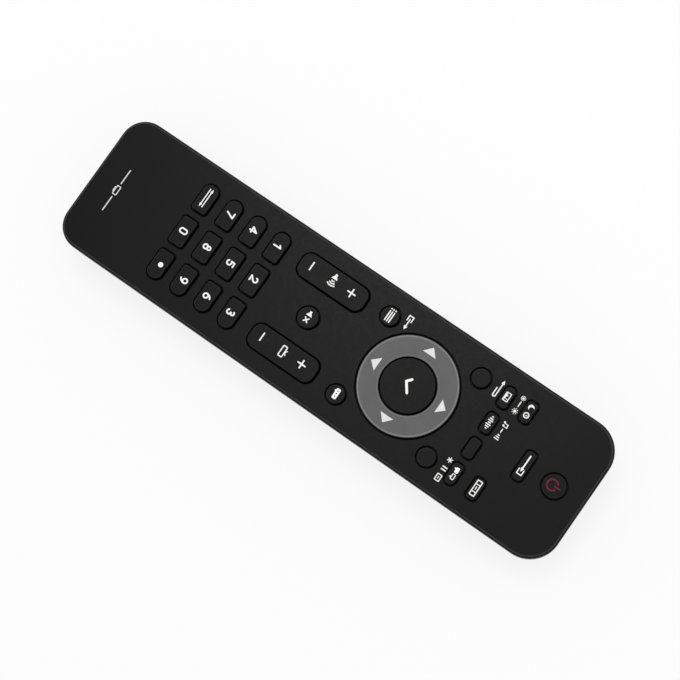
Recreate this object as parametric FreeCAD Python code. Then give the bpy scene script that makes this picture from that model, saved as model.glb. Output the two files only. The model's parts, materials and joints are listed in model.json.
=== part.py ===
import FreeCAD, Part
import math
import os

from FreeCAD import Vector

# TV remote control, in millimetres.
# The origin is the middle of the underside. +X is right, +Y is towards the power end,
# and +Z is out of the key face.

os.makedirs("parts", exist_ok=True)

# Case
LENGTH = 200.0
WIDTH = 51.0
POWER_END_CORNER = 11.0
BATTERY_END_CORNER = 9.0
FACE_EDGE_RADIUS = 1.3
BACK_EDGE_RADIUS = 7.0
CASE_WALL = 2.0
FACE_WALL = 1.8
PARTING_HEIGHT = 10.5
LIP_WALL = 0.8
LIP_HEIGHT = 1.0
LIP_CLEARANCE = 0.1
SEAM_HEIGHT = 0.3
SEAM_DEPTH = 0.4
LEDGE_WIDTH = 1.2
HOLE_EDGE_RADIUS = 0.15

# Cells, their bay and the door below it
CELL_DIAMETER = 10.5
CELL_LENGTH = 44.5
CELL_TIP_DIAMETER = 3.8
CELL_TIP_LENGTH = 0.8
CELL_SHOULDER_DIAMETER = 8.6
CELL_SHOULDER_LENGTH = 0.2
CELL_EDGE_RADIUS = 0.5
CELL_GAP = 0.6
CELL_SPACING = CELL_DIAMETER + CELL_GAP
CELL_SIDE_CLEARANCE = 0.3
CELL_DOOR_CLEARANCE = 0.2
CELL_TOP_CLEARANCE = 0.15
BAY_FROM_END = 6.5
BAY_WALL = 1.2
BAY_CEILING = 0.95
DOOR_THICKNESS = 1.6
DOOR_WIDTH = 34.0
DOOR_LENGTH = 62.0
DOOR_SIDE_GAP = 0.2
DOOR_LIFT_GAP = 0.15
DOOR_SHELF_THICKNESS = 1.25
DOOR_SHELF_REACH = 2.2
DOOR_RAIL_CLEARANCE = 0.9
DOOR_RAIL_WALL = 1.4
DOOR_RAIL_REACH = 1.5
DOOR_RAIL_THICKNESS = 1.05
DOOR_RAIL_INSET = 7.0
GRIP_LENGTH = 9.0
GRIP_WIDTH = 16.0
GRIP_DEPTH = 0.4
GRIP_RIDGE = 0.7
GRIP_PITCH = 1.6
GRIP_FROM_DOOR_EDGE = 5.0
ARROW_LENGTH = 4.0
ARROW_WIDTH = 6.0
ARROW_GAP = 2.5

# Cell contacts
CONTACT_THICKNESS = 0.4
CONTACT_WIDTH = 8.4
CONTACT_HEIGHT = 8.0
CONTACT_TAB_WIDTH = 2.4
CONTACT_SLOT_CLEARANCE = 0.3
SPRING_LENGTH = 4.5
SPRING_WIRE = 0.6
SPRING_DIAMETER = 5.4
SPRING_TURNS = 3
SPRING_END_CLEARANCE = 0.05

# Board and rubber mat
BOARD_THICKNESS = 1.2
BOARD_CLEARANCE = 0.3
MAT_THICKNESS = 0.8
MAT_COLLAR_HEIGHT = 0.5
MAT_COLLAR_WALL = 0.7
POST_DIAMETER = 3.0
POST_X = 19.5
POST_FROM_END = (38.0, 78.0, 108.0)

# Push keys: travel, the flange that holds each key in, and the stem and pill below it
KEY_TRAVEL = 1.0
KEY_GAP = 0.45
KEY_PROUD = 1.1
KEY_EDGE_RADIUS = 0.45
KEY_FLANGE = 0.8
KEY_FLANGE_THICKNESS = 1.0
KEY_FLANGE_GAP = 0.15
KEY_STEM_DIAMETER = 3.4
KEY_STEM_CLEARANCE = 0.35
KEY_MAT_CLEARANCE = 0.15
PILL_DIAMETER = 3.0
PILL_THICKNESS = 0.4
PILL_CLEARANCE = 0.1

# Key sizes, width along X and height along Y
POWER_KEY_DIAMETER = 8.15
MUTE_KEY_DIAMETER = 7.45
SMALL_ROUND_KEY_DIAMETER = 6.5
SOURCE_KEY_WIDTH = 10.75
SOURCE_KEY_HEIGHT = 3.7
FUNCTION_KEY_HEIGHT = 3.85
OUTER_FUNCTION_KEY_WIDTH = 7.7
INNER_FUNCTION_KEY_WIDTH = 7.35
FUNCTION_KEY_CORNER = 1.3
FUNCTION_KEY_OUTER_CORNER = 1.75
DIGIT_KEY_WIDTH = 10.55
DIGIT_KEY_HEIGHT = 5.85
DIGIT_KEY_CORNER = 1.05
DIGIT_KEY_OUTER_CORNER = 2.7
ROCKER_WIDTH = 8.85
ROCKER_LENGTH = 26.45
ROCKER_CORNER = 3.2

# Key places, measured from the power end and from the centre line
POWER_KEY_FROM_END = 11.4
SOURCE_KEY_FROM_END = 22.9
SLEEP_ROW_FROM_END = 31.6
PICTURE_ROW_FROM_END = 40.1
BACK_ROW_FROM_END = 50.55
RING_FROM_END = 68.9
MENU_ROW_FROM_END = 86.95
ROCKER_FROM_END = 109.35
FIRST_DIGIT_ROW_FROM_END = 131.75
DIGIT_ROW_PITCH = 10.0
DIGIT_COLUMN_PITCH = 13.6
OUTER_FUNCTION_KEY_X = 15.05
INNER_FUNCTION_KEY_X = 4.95
ROUND_KEY_X = 15.7
ROCKER_X = 14.4

# Rockers, which turn on round pins in bearings below the face
ROCKER_TILT = 4.0
ROCKER_PIN_DIAMETER = 1.6
ROCKER_PIN_LENGTH = 1.6
ROCKER_PIN_CLEARANCE = 0.08
ROCKER_CONTACT_SPACING = 19.2
ROCKER_STEM_CLEARANCE = 0.6
BEARING_WALL = 0.9
BEARING_WIDTH = 1.4
BEARING_SLOT = 1.2
TILT_CLEARANCE = 0.1

# Four-way ring, the key inside it and the rubber pad below it
RING_DIAMETER = 34.65
RING_HOLE_DIAMETER = 19.2
RING_PROUD = 0.4
RING_PLATE = 2.0
RING_TILT = 2.5
RING_PIVOT_DEPTH = 1.4
RING_SKIRT = 1.4
RING_COLLAR = 1.0
RING_COLLAR_HEIGHT = 0.5
RING_FLANGE = 1.1
RING_FLANGE_THICKNESS = 0.6
RING_EDGE_RADIUS = 0.5
OK_KEY_PROUD = 1.2
OK_KEY_GAP = 0.35
OK_FLANGE = 1.05
OK_FLANGE_THICKNESS = 0.8
PAD_SIDE_GAP = 0.6
PAD_THICKNESS = 1.0
PAD_COLLAR_WALL = 1.1
PAD_PILL_DIAMETER = 3.2
PAD_MAT_GAP = 0.5

# Screws and the bosses that take them
SCREW_DIAMETER = 2.2
SCREW_HEAD_DIAMETER = 4.4
SCREW_HEAD_HEIGHT = 1.5
SCREW_HEAD_EDGE = 0.4
SCREW_ENGAGEMENT = 3.4
SCREW_TIP = 0.8
SCREW_WELL_DEPTH = 1.7
SCREW_WELL_CLEARANCE = 0.4
SCREW_HOLE_CLEARANCE = 0.2
SCREW_PILOT_CLEARANCE = 0.03
SCREW_RECESS_WIDTH = 0.6
SCREW_RECESS_LENGTH = 2.6
SCREW_RECESS_DEPTH = 0.8
BOSS_WALL = 1.6
BOSS_FLOOR = 1.8
BOSS_OVERLAP = 0.8
MIDDLE_SCREW_FROM_END = 121.0
END_SCREW_FROM_END = 20.0
END_SCREW_X = 14.5

# Snap hooks at the battery end
HOOK_X = 8.0
HOOK_WIDTH = 6.0
HOOK_THICKNESS = 1.0
HOOK_REACH = 2.3
HOOK_BARB = 0.6
HOOK_BARB_HEIGHT = 0.8
HOOK_CLEARANCE = 0.15

# Infrared lamp and window
LAMP_DIAMETER = 5.0
LAMP_BODY_LENGTH = 5.0
LAMP_RIM_DIAMETER = 5.8
LAMP_RIM_THICKNESS = 1.0
LAMP_BOARD_GAP = 0.5
LAMP_WINDOW_GAP = 0.6
LAMP_LEAD = 0.5
LAMP_LEAD_SPACING = 2.54
LAMP_LEAD_LENGTH = 2.6
CRADLE_WIDTH = 8.0
CRADLE_THICKNESS = 1.4
CRADLE_CLEARANCE = 0.1
WINDOW_WIDTH = 22.0
WINDOW_HEIGHT = 6.0
WINDOW_CLEARANCE = 0.1
WINDOW_EAR = 1.5
WINDOW_EAR_THICKNESS = 1.0
WINDOW_EDGE_RADIUS = 0.4

# Parts on the underside of the board
CHIP_LENGTH = 17.9
CHIP_WIDTH = 7.5
CHIP_HEIGHT = 2.3
CHIP_STANDOFF = 0.15
CHIP_PINS_PER_SIDE = 14
CHIP_PIN_PITCH = 1.27
CHIP_PIN_WIDTH = 0.4
CHIP_PIN_REACH = 1.4
CHIP_PIN_THICKNESS = 0.25
CHIP_FROM_END = 60.0
RESONATOR_LENGTH = 7.4
RESONATOR_WIDTH = 3.4
RESONATOR_HEIGHT = 5.0
RESONATOR_PIN = 0.5
RESONATOR_PIN_SPACING = 5.0
RESONATOR_X = 11.0
RESONATOR_FROM_END = 82.0
CAPACITOR_DIAMETER = 5.0
CAPACITOR_LENGTH = 11.0
CAPACITOR_EDGE = 0.5
CAPACITOR_X = -10.0
CAPACITOR_FROM_END = 36.0
TRANSISTOR_DIAMETER = 4.6
TRANSISTOR_FLAT = 1.4
TRANSISTOR_HEIGHT = 4.6
TRANSISTOR_PIN = 0.45
TRANSISTOR_PIN_PITCH = 1.27
TRANSISTOR_X = 9.0
TRANSISTOR_FROM_END = 28.0
COMPONENT_STANDOFF = 0.8
RESISTOR_LENGTH = 2.0
RESISTOR_WIDTH = 1.25
RESISTOR_HEIGHT = 0.5
RESISTOR_PITCH = 3.2
RESISTOR_COUNT = 6
RESISTOR_X = -12.0
RESISTOR_FROM_END = 74.0

# Heights of the stack, from the door up to the key face
cell_axis_z = DOOR_THICKNESS + CELL_DOOR_CLEARANCE + CELL_DIAMETER / 2
ceiling_z = cell_axis_z + CELL_DIAMETER / 2 + CELL_TOP_CLEARANCE
board_bottom = ceiling_z + BAY_CEILING
board_top = board_bottom + BOARD_THICKNESS
mat_top = board_top + MAT_THICKNESS
pill_bottom = board_top + KEY_TRAVEL + PILL_CLEARANCE
pill_top = pill_bottom + PILL_THICKNESS
flange_bottom = mat_top + MAT_COLLAR_HEIGHT + KEY_MAT_CLEARANCE + KEY_TRAVEL
flange_top = flange_bottom + KEY_FLANGE_THICKNESS
inner_face = flange_top + KEY_FLANGE_GAP
face_height = inner_face + FACE_WALL
door_gap_z = DOOR_THICKNESS + DOOR_LIFT_GAP
lip_inset = CASE_WALL - LIP_WALL

# Places along the case
power_end = LENGTH / 2
battery_end = -LENGTH / 2
bay_length = 2 * CONTACT_THICKNESS + SPRING_LENGTH + CELL_LENGTH
bay_start = battery_end + BAY_FROM_END
bay_end = bay_start + bay_length
bay_half_width = CELL_SPACING / 2 + CELL_DIAMETER / 2 + CELL_SIDE_CLEARANCE
door_edge = battery_end + DOOR_LENGTH
ring_center = Vector(0, power_end - RING_FROM_END, 0)


def corner_radii(left, right):
    """Radii at the low left, low right, high right and high left corners."""
    return (left, right, right, left)


def box(x0, x1, y0, y1, z0, z1):
    return Part.makeBox(x1 - x0, y1 - y0, z1 - z0, Vector(x0, y0, z0))


def cylinder(diameter, x, y, z0, z1):
    return Part.makeCylinder(diameter / 2, z1 - z0, Vector(x, y, z0))


def rod_along_y(diameter, x, y0, y1, z):
    return Part.makeCylinder(diameter / 2, y1 - y0, Vector(x, y0, z), Vector(0, 1, 0))


def rod_along_x(diameter, x0, x1, y, z):
    return Part.makeCylinder(diameter / 2, x1 - x0, Vector(x0, y, z), Vector(1, 0, 0))


def rounded_block(x0, x1, y0, y1, corners, z0, z1):
    """A block with its own radius at each upright corner, from low left anticlockwise."""
    low_left, low_right, high_right, high_left = corners
    corner_arcs = (
        (x1 - low_right, y0 + low_right, low_right, -90),
        (x1 - high_right, y1 - high_right, high_right, 0),
        (x0 + high_left, y1 - high_left, high_left, 90),
        (x0 + low_left, y0 + low_left, low_left, 180),
    )
    edges = []
    last = Vector(x0 + low_left, y0, z0)
    for cx, cy, radius, start in corner_arcs:
        arc_points = []
        for turn in (0, 45, 90):
            angle = math.radians(start + turn)
            arc_points.append(Vector(cx + radius * math.cos(angle), cy + radius * math.sin(angle), z0))
        edges.append(Part.makeLine(last, arc_points[0]))
        edges.append(Part.Arc(*arc_points).toShape())
        last = arc_points[2]
    return Part.Face(Part.Wire(edges)).extrude(Vector(0, 0, z1 - z0))


def edges_at(shape, z):
    """Every edge that lies flat at the height z."""
    tolerance = 1e-4
    found = []
    for edge in shape.Edges:
        bounds = edge.BoundBox
        if abs(bounds.ZMin - z) < tolerance and abs(bounds.ZMax - z) < tolerance:
            found.append(edge)
    return found


def case_block(inset, z0, z1):
    """The outline of the case, drawn in by inset, between two heights."""
    half_width = WIDTH / 2 - inset
    half_length = LENGTH / 2 - inset
    battery_corner = BATTERY_END_CORNER - inset
    power_corner = POWER_END_CORNER - inset
    corners = (battery_corner, battery_corner, power_corner, power_corner)
    return rounded_block(-half_width, half_width, -half_length, half_length, corners, z0, z1)


def case_back(inset, top):
    """The lower case, drawn in by inset all round, with its rounded long edges."""
    block = case_block(inset, inset, top)
    return block.makeFillet(BACK_EDGE_RADIUS - inset, edges_at(block, inset))


def case_ring(inset, width, z0, z1):
    """A band that follows the case outline, from inset to inset plus width."""
    return case_block(inset, z0, z1).cut(case_block(inset + width, z0 - 1, z1 + 1))


def write(name, solids):
    """One file for one piece, with its solids side by side."""
    shape = solids[0]
    if len(solids) > 1:
        shape = Part.makeCompound(solids)
    assert shape.isValid(), name
    shape.exportStep("parts/" + name + ".step")


class PushKey:
    """A key that travels straight down. Round keys have corners of half their width."""

    def __init__(self, name, x, from_end, width, height, corners):
        self.name = name
        self.x = x
        self.y = power_end - from_end
        self.width = width
        self.height = height
        self.corners = corners

    def block(self, margin, z0, z1):
        half_width = self.width / 2 + margin
        half_height = self.height / 2 + margin
        corners = [corner + margin for corner in self.corners]
        if self.corners[0] * 2 >= self.width:
            return cylinder(self.width + 2 * margin, self.x, self.y, z0, z1)
        return rounded_block(
            self.x - half_width, self.x + half_width,
            self.y - half_height, self.y + half_height,
            corners, z0, z1,
        )

    def solids(self):
        key_top = face_height + KEY_PROUD
        cap = self.block(0, flange_bottom, key_top)
        cap = cap.makeFillet(KEY_EDGE_RADIUS, edges_at(cap, key_top))
        flange = self.block(KEY_FLANGE, flange_bottom, flange_top)
        stem = cylinder(KEY_STEM_DIAMETER, self.x, self.y, pill_top, flange_bottom)
        pill = cylinder(PILL_DIAMETER, self.x, self.y, pill_bottom, pill_top)
        return [cap.fuse([flange, stem]).removeSplitter(), pill]


def round_key(name, x, from_end, diameter):
    return PushKey(name, x, from_end, diameter, diameter, (diameter / 2,) * 4)


def function_key(name, x, from_end, width, corners):
    return PushKey(name, x, from_end, width, FUNCTION_KEY_HEIGHT, corners)


def all_push_keys():
    outer = OUTER_FUNCTION_KEY_WIDTH
    inner = INNER_FUNCTION_KEY_WIDTH
    even_corners = corner_radii(FUNCTION_KEY_CORNER, FUNCTION_KEY_CORNER)
    left_corners = corner_radii(FUNCTION_KEY_OUTER_CORNER, FUNCTION_KEY_CORNER)
    right_corners = corner_radii(FUNCTION_KEY_CORNER, FUNCTION_KEY_OUTER_CORNER)
    outer_x = OUTER_FUNCTION_KEY_X
    inner_x = INNER_FUNCTION_KEY_X
    small = SMALL_ROUND_KEY_DIAMETER
    keys = [
        round_key("power_key", 0, POWER_KEY_FROM_END, POWER_KEY_DIAMETER),
        PushKey("source_key", 0, SOURCE_KEY_FROM_END, SOURCE_KEY_WIDTH, SOURCE_KEY_HEIGHT,
                even_corners),
        function_key("sleep_key", -outer_x, SLEEP_ROW_FROM_END, outer, even_corners),
        function_key("format_key", outer_x, SLEEP_ROW_FROM_END, outer, even_corners),
        function_key("picture_key", -outer_x, PICTURE_ROW_FROM_END, outer, left_corners),
        function_key("sound_key", -inner_x, PICTURE_ROW_FROM_END, inner, even_corners),
        function_key("blank_key", inner_x, PICTURE_ROW_FROM_END, inner, even_corners),
        function_key("second_audio_key", outer_x, PICTURE_ROW_FROM_END, outer, right_corners),
        round_key("back_key", -ROUND_KEY_X, BACK_ROW_FROM_END, small),
        round_key("freeze_key", ROUND_KEY_X, BACK_ROW_FROM_END, small),
        round_key("menu_key", -ROUND_KEY_X, MENU_ROW_FROM_END, small),
        round_key("info_key", ROUND_KEY_X, MENU_ROW_FROM_END, small),
        round_key("mute_key", 0, ROCKER_FROM_END, MUTE_KEY_DIAMETER),
    ]
    digit_rows = (
        ("key_1", "key_2", "key_3"),
        ("key_4", "key_5", "key_6"),
        ("key_7", "key_8", "key_9"),
        ("previous_channel_key", "key_0", "dot_key"),
    )
    column_corners = (
        corner_radii(DIGIT_KEY_OUTER_CORNER, DIGIT_KEY_CORNER),
        corner_radii(DIGIT_KEY_CORNER, DIGIT_KEY_CORNER),
        corner_radii(DIGIT_KEY_CORNER, DIGIT_KEY_OUTER_CORNER),
    )
    for row, names in enumerate(digit_rows):
        from_end = FIRST_DIGIT_ROW_FROM_END + row * DIGIT_ROW_PITCH
        for column, name in enumerate(names):
            x = (column - 1) * DIGIT_COLUMN_PITCH
            keys.append(PushKey(name, x, from_end, DIGIT_KEY_WIDTH, DIGIT_KEY_HEIGHT,
                                column_corners[column]))
    return keys


push_keys = all_push_keys()

# Rocker heights: the pins lie just below the face, the body clears the mat's collars and the
# stems clear the board at full tilt
rocker_sine = math.sin(math.radians(ROCKER_TILT))
rocker_y = power_end - ROCKER_FROM_END
rocker_pivot_z = inner_face - ROCKER_PIN_CLEARANCE - ROCKER_PIN_DIAMETER / 2
rocker_end_drop = ROCKER_LENGTH / 2 * rocker_sine
rocker_bottom = mat_top + MAT_COLLAR_HEIGHT + rocker_end_drop + TILT_CLEARANCE
rocker_pill_drop = (ROCKER_CONTACT_SPACING + PILL_DIAMETER) / 2 * rocker_sine
rocker_pill_bottom = board_top + rocker_pill_drop + TILT_CLEARANCE
rocker_pill_top = rocker_pill_bottom + PILL_THICKNESS


def rocker_block(x, margin, z0, z1):
    half_width = ROCKER_WIDTH / 2 + margin
    half_length = ROCKER_LENGTH / 2 + margin
    corners = (ROCKER_CORNER + margin,) * 4
    return rounded_block(x - half_width, x + half_width, rocker_y - half_length,
                         rocker_y + half_length, corners, z0, z1)


def rocker_contacts(x):
    """The two places where a rocker presses on the board."""
    half_spacing = ROCKER_CONTACT_SPACING / 2
    return [(x, rocker_y - half_spacing), (x, rocker_y + half_spacing)]


def rocker(name, x):
    key_top = face_height + KEY_PROUD
    body = rocker_block(x, 0, rocker_bottom, key_top)
    body = body.makeFillet(KEY_EDGE_RADIUS, edges_at(body, key_top))
    pin_reach = ROCKER_WIDTH / 2 + ROCKER_PIN_LENGTH
    pin = rod_along_x(ROCKER_PIN_DIAMETER, x - pin_reach, x + pin_reach, rocker_y, rocker_pivot_z)
    stems = []
    pills = []
    for contact_x, contact_y in rocker_contacts(x):
        stems.append(cylinder(KEY_STEM_DIAMETER, contact_x, contact_y,
                              rocker_pill_top, rocker_bottom))
        pills.append(cylinder(PILL_DIAMETER, contact_x, contact_y,
                              rocker_pill_bottom, rocker_pill_top))
    write(name, [body.fuse([pin] + stems).removeSplitter()] + pills)


def rocker_bearings(x):
    """Open bearings for a rocker's two pins, hanging from the underside of the face."""
    hole_diameter = ROCKER_PIN_DIAMETER + 2 * ROCKER_PIN_CLEARANCE
    half_depth = hole_diameter / 2 + BEARING_WALL
    inner_x = ROCKER_WIDTH / 2 + KEY_GAP
    outer_x = inner_x + BEARING_WIDTH
    bottom = rocker_pivot_z - hole_diameter / 2
    blocks = []
    for side in (-1, 1):
        block_x = sorted((x + side * inner_x, x + side * outer_x))
        block = box(block_x[0], block_x[1], rocker_y - half_depth, rocker_y + half_depth,
                    bottom, inner_face)
        hole = rod_along_x(hole_diameter, block_x[0] - 1, block_x[1] + 1, rocker_y, rocker_pivot_z)
        slot = box(block_x[0] - 1, block_x[1] + 1, rocker_y - BEARING_SLOT / 2,
                   rocker_y + BEARING_SLOT / 2, bottom - 1, rocker_pivot_z)
        blocks.append(block.cut([hole, slot]))
    return blocks


# Ring heights: the flange clears the face with the ring tilted both ways at once
ring_sine = math.sin(math.radians(RING_TILT))
ring_corner_sine = ring_sine * math.sqrt(2)
ring_radius = RING_DIAMETER / 2
ring_hole_radius = RING_HOLE_DIAMETER / 2
ring_flange_radius = ring_radius + RING_FLANGE
ring_top = face_height + RING_PROUD
ring_pivot_z = face_height - RING_PIVOT_DEPTH
ring_plate_bottom = ring_top - RING_PLATE
ring_collar_bottom = ring_plate_bottom - RING_COLLAR_HEIGHT
ring_flange_top = inner_face - ring_flange_radius * ring_corner_sine - TILT_CLEARANCE
ring_flange_bottom = ring_flange_top - RING_FLANGE_THICKNESS
ok_radius = ring_hole_radius - OK_KEY_GAP
ok_flange_radius = ok_radius + OK_FLANGE
ok_flange_top = (ring_collar_bottom - TILT_CLEARANCE
                 - (ring_hole_radius + RING_COLLAR) * ring_corner_sine)
ok_flange_bottom = ok_flange_top - OK_FLANGE_THICKNESS
pad_inner_radius = ok_flange_radius + PAD_SIDE_GAP
pad_outer_radius = ring_radius - RING_SKIRT - PAD_SIDE_GAP
pad_collar_radius = pad_inner_radius + PAD_COLLAR_WALL
pad_pill_radius = (pad_inner_radius + pad_outer_radius) / 2
pad_pill_bottom = (board_top + TILT_CLEARANCE
                   + (pad_pill_radius + PAD_PILL_DIAMETER / 2) * ring_sine)
pad_bottom = pad_pill_bottom + PILL_THICKNESS
pad_top = pad_bottom + PAD_THICKNESS
pad_collar_top = ring_plate_bottom - pad_collar_radius * ring_sine - TILT_CLEARANCE
pad_mat_radius = ring_flange_radius + PAD_MAT_GAP


def ring_band(inner_radius, outer_radius, z0, z1):
    """A flat washer about the centre of the four-way ring."""
    outer = cylinder(2 * outer_radius, 0, ring_center.y, z0, z1)
    return outer.cut(cylinder(2 * inner_radius, 0, ring_center.y, z0 - 1, z1 + 1))


def navigation_ring():
    plate = ring_band(ring_hole_radius, ring_radius, ring_plate_bottom, ring_top)
    plate = plate.makeFillet(RING_EDGE_RADIUS, edges_at(plate, ring_top))
    collar = ring_band(ring_hole_radius, ring_hole_radius + RING_COLLAR,
                       ring_collar_bottom, ring_plate_bottom)
    skirt = ring_band(ring_radius - RING_SKIRT, ring_radius,
                      ring_flange_bottom, ring_plate_bottom)
    flange = ring_band(ring_radius - RING_SKIRT, ring_flange_radius,
                       ring_flange_bottom, ring_flange_top)
    write("navigation_ring", [plate.fuse([collar, skirt, flange]).removeSplitter()])


def navigation_pad():
    pad = ring_band(pad_inner_radius, pad_outer_radius, pad_bottom, pad_top)
    collar = ring_band(pad_inner_radius, pad_collar_radius, pad_top, pad_collar_top)
    pills = []
    for quarter in range(4):
        angle = math.radians(90 * quarter)
        x = pad_pill_radius * math.cos(angle)
        y = ring_center.y + pad_pill_radius * math.sin(angle)
        pills.append(cylinder(PAD_PILL_DIAMETER, x, y, pad_pill_bottom, pad_bottom))
    write("navigation_pad", [pad.fuse(collar).removeSplitter()])
    write("navigation_pills", pills)


def ok_key():
    key_top = face_height + OK_KEY_PROUD
    y = ring_center.y
    cap = cylinder(2 * ok_radius, 0, y, ok_flange_bottom, key_top)
    cap = cap.makeFillet(KEY_EDGE_RADIUS, edges_at(cap, key_top))
    flange = cylinder(2 * ok_flange_radius, 0, y, ok_flange_bottom, ok_flange_top)
    stem = cylinder(KEY_STEM_DIAMETER, 0, y, pill_top, ok_flange_bottom)
    pill = cylinder(PILL_DIAMETER, 0, y, pill_bottom, pill_top)
    write("ok_key", [cap.fuse([flange, stem]).removeSplitter(), pill])


# Screw places and heights
screw_places = [
    (0, power_end - MIDDLE_SCREW_FROM_END),
    (-END_SCREW_X, power_end - END_SCREW_FROM_END),
    (END_SCREW_X, power_end - END_SCREW_FROM_END),
]
screw_seat = SCREW_WELL_DEPTH + SCREW_HEAD_HEIGHT
screw_well_diameter = SCREW_HEAD_DIAMETER + 2 * SCREW_WELL_CLEARANCE
boss_joint_z = board_bottom - BOSS_OVERLAP
screw_end = boss_joint_z + SCREW_ENGAGEMENT
upper_boss_diameter = SCREW_DIAMETER + 2 * BOSS_WALL
lower_boss_diameter = upper_boss_diameter + 2 * SCREW_HOLE_CLEARANCE
boss_hole_diameter = upper_boss_diameter + 2 * BOARD_CLEARANCE


def case_screws():
    screws = []
    for x, y in screw_places:
        head = cylinder(SCREW_HEAD_DIAMETER, x, y, SCREW_WELL_DEPTH, screw_seat)
        head = head.makeFillet(SCREW_HEAD_EDGE, edges_at(head, SCREW_WELL_DEPTH))
        shank = cylinder(SCREW_DIAMETER, x, y, screw_seat, screw_end - SCREW_TIP)
        tip = Part.makeCone(SCREW_DIAMETER / 2, SCREW_DIAMETER / 4, SCREW_TIP,
                            Vector(x, y, screw_end - SCREW_TIP))
        recess_top = SCREW_WELL_DEPTH + SCREW_RECESS_DEPTH
        long_half = SCREW_RECESS_LENGTH / 2
        short_half = SCREW_RECESS_WIDTH / 2
        slot_x = box(x - long_half, x + long_half, y - short_half, y + short_half, 0, recess_top)
        slot_y = box(x - short_half, x + short_half, y - long_half, y + long_half, 0, recess_top)
        screws.append(head.fuse([shank, tip]).cut(slot_x).cut(slot_y).removeSplitter())
    write("case_screws", screws)


# Lamp, window and snap hooks
lamp_z = board_bottom - LAMP_BOARD_GAP - LAMP_DIAMETER / 2
window_inner_y = power_end - CASE_WALL
lamp_tip_y = window_inner_y - LAMP_WINDOW_GAP
lamp_body_end = lamp_tip_y - LAMP_DIAMETER / 2
lamp_body_start = lamp_body_end - LAMP_BODY_LENGTH
window_bottom = lamp_z - WINDOW_HEIGHT / 2
window_top = lamp_z + WINDOW_HEIGHT / 2
hook_wall_y = battery_end + CASE_WALL
hook_bottom = PARTING_HEIGHT - HOOK_REACH


def window_opening(clearance):
    half_width = WINDOW_WIDTH / 2 + clearance
    return box(-half_width, half_width, window_inner_y - clearance, power_end + 1,
               window_bottom - clearance, window_top + clearance)


def ir_window():
    """A dark window, flush with the end of the case, with an ear below the board at each side."""
    half_width = WINDOW_WIDTH / 2
    plate = box(-half_width, half_width, window_inner_y, power_end, window_bottom, window_top)
    front_edges = [edge for edge in plate.Edges if edge.BoundBox.YMin > power_end - 0.001]
    plate = plate.makeFillet(WINDOW_EDGE_RADIUS, front_edges)
    ears = []
    for side in (-1, 1):
        ear_x = sorted((side * (half_width - WINDOW_EAR), side * (half_width + WINDOW_EAR)))
        ears.append(box(ear_x[0], ear_x[1], window_inner_y - WINDOW_EAR_THICKNESS, window_inner_y,
                        window_bottom, board_bottom))
    write("ir_window", [plate.fuse(ears).removeSplitter()])


def ir_led():
    body = rod_along_y(LAMP_DIAMETER, 0, lamp_body_start, lamp_body_end, lamp_z)
    dome = Part.makeSphere(LAMP_DIAMETER / 2, Vector(0, lamp_body_end, lamp_z))
    dome = dome.common(box(-LAMP_DIAMETER, LAMP_DIAMETER, lamp_body_end, lamp_tip_y + 1,
                           lamp_z - LAMP_DIAMETER, lamp_z + LAMP_DIAMETER))
    rim_start = lamp_body_start - LAMP_RIM_THICKNESS
    rim = rod_along_y(LAMP_RIM_DIAMETER, 0, rim_start, lamp_body_start, lamp_z)
    pieces = [dome, rim]
    for side in (-1, 1):
        x = side * LAMP_LEAD_SPACING / 2
        half = LAMP_LEAD / 2
        bend_y = rim_start - LAMP_LEAD_LENGTH
        pieces.append(box(x - half, x + half, bend_y, rim_start, lamp_z - half, lamp_z + half))
        pieces.append(box(x - half, x + half, bend_y, bend_y + LAMP_LEAD, lamp_z - half,
                          board_bottom))
    write("ir_led", [body.fuse(pieces).removeSplitter()])


def hook(x):
    """A snap hook that hangs from the upper case, with its barb towards the end wall."""
    x0 = x - HOOK_WIDTH / 2
    x1 = x + HOOK_WIDTH / 2
    root_z = PARTING_HEIGHT + LIP_HEIGHT + 2 * LIP_CLEARANCE
    inner_y = hook_wall_y + HOOK_CLEARANCE + HOOK_THICKNESS
    top = board_bottom - HOOK_CLEARANCE
    tongue = box(x0, x1, hook_wall_y + HOOK_CLEARANCE, inner_y, hook_bottom, top)
    root = box(x0, x1, hook_wall_y - CASE_WALL / 2, inner_y, root_z, top)
    barb = box(x0, x1, hook_wall_y - HOOK_BARB, inner_y, hook_bottom, hook_bottom + HOOK_BARB_HEIGHT)
    return tongue.fuse([root, barb])


def hook_pocket(x):
    half_width = HOOK_WIDTH / 2 + HOOK_CLEARANCE
    return box(x - half_width, x + half_width, hook_wall_y - HOOK_BARB - HOOK_CLEARANCE,
               hook_wall_y + 1, hook_bottom - HOOK_CLEARANCE,
               hook_bottom + HOOK_BARB_HEIGHT + HOOK_CLEARANCE)


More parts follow.
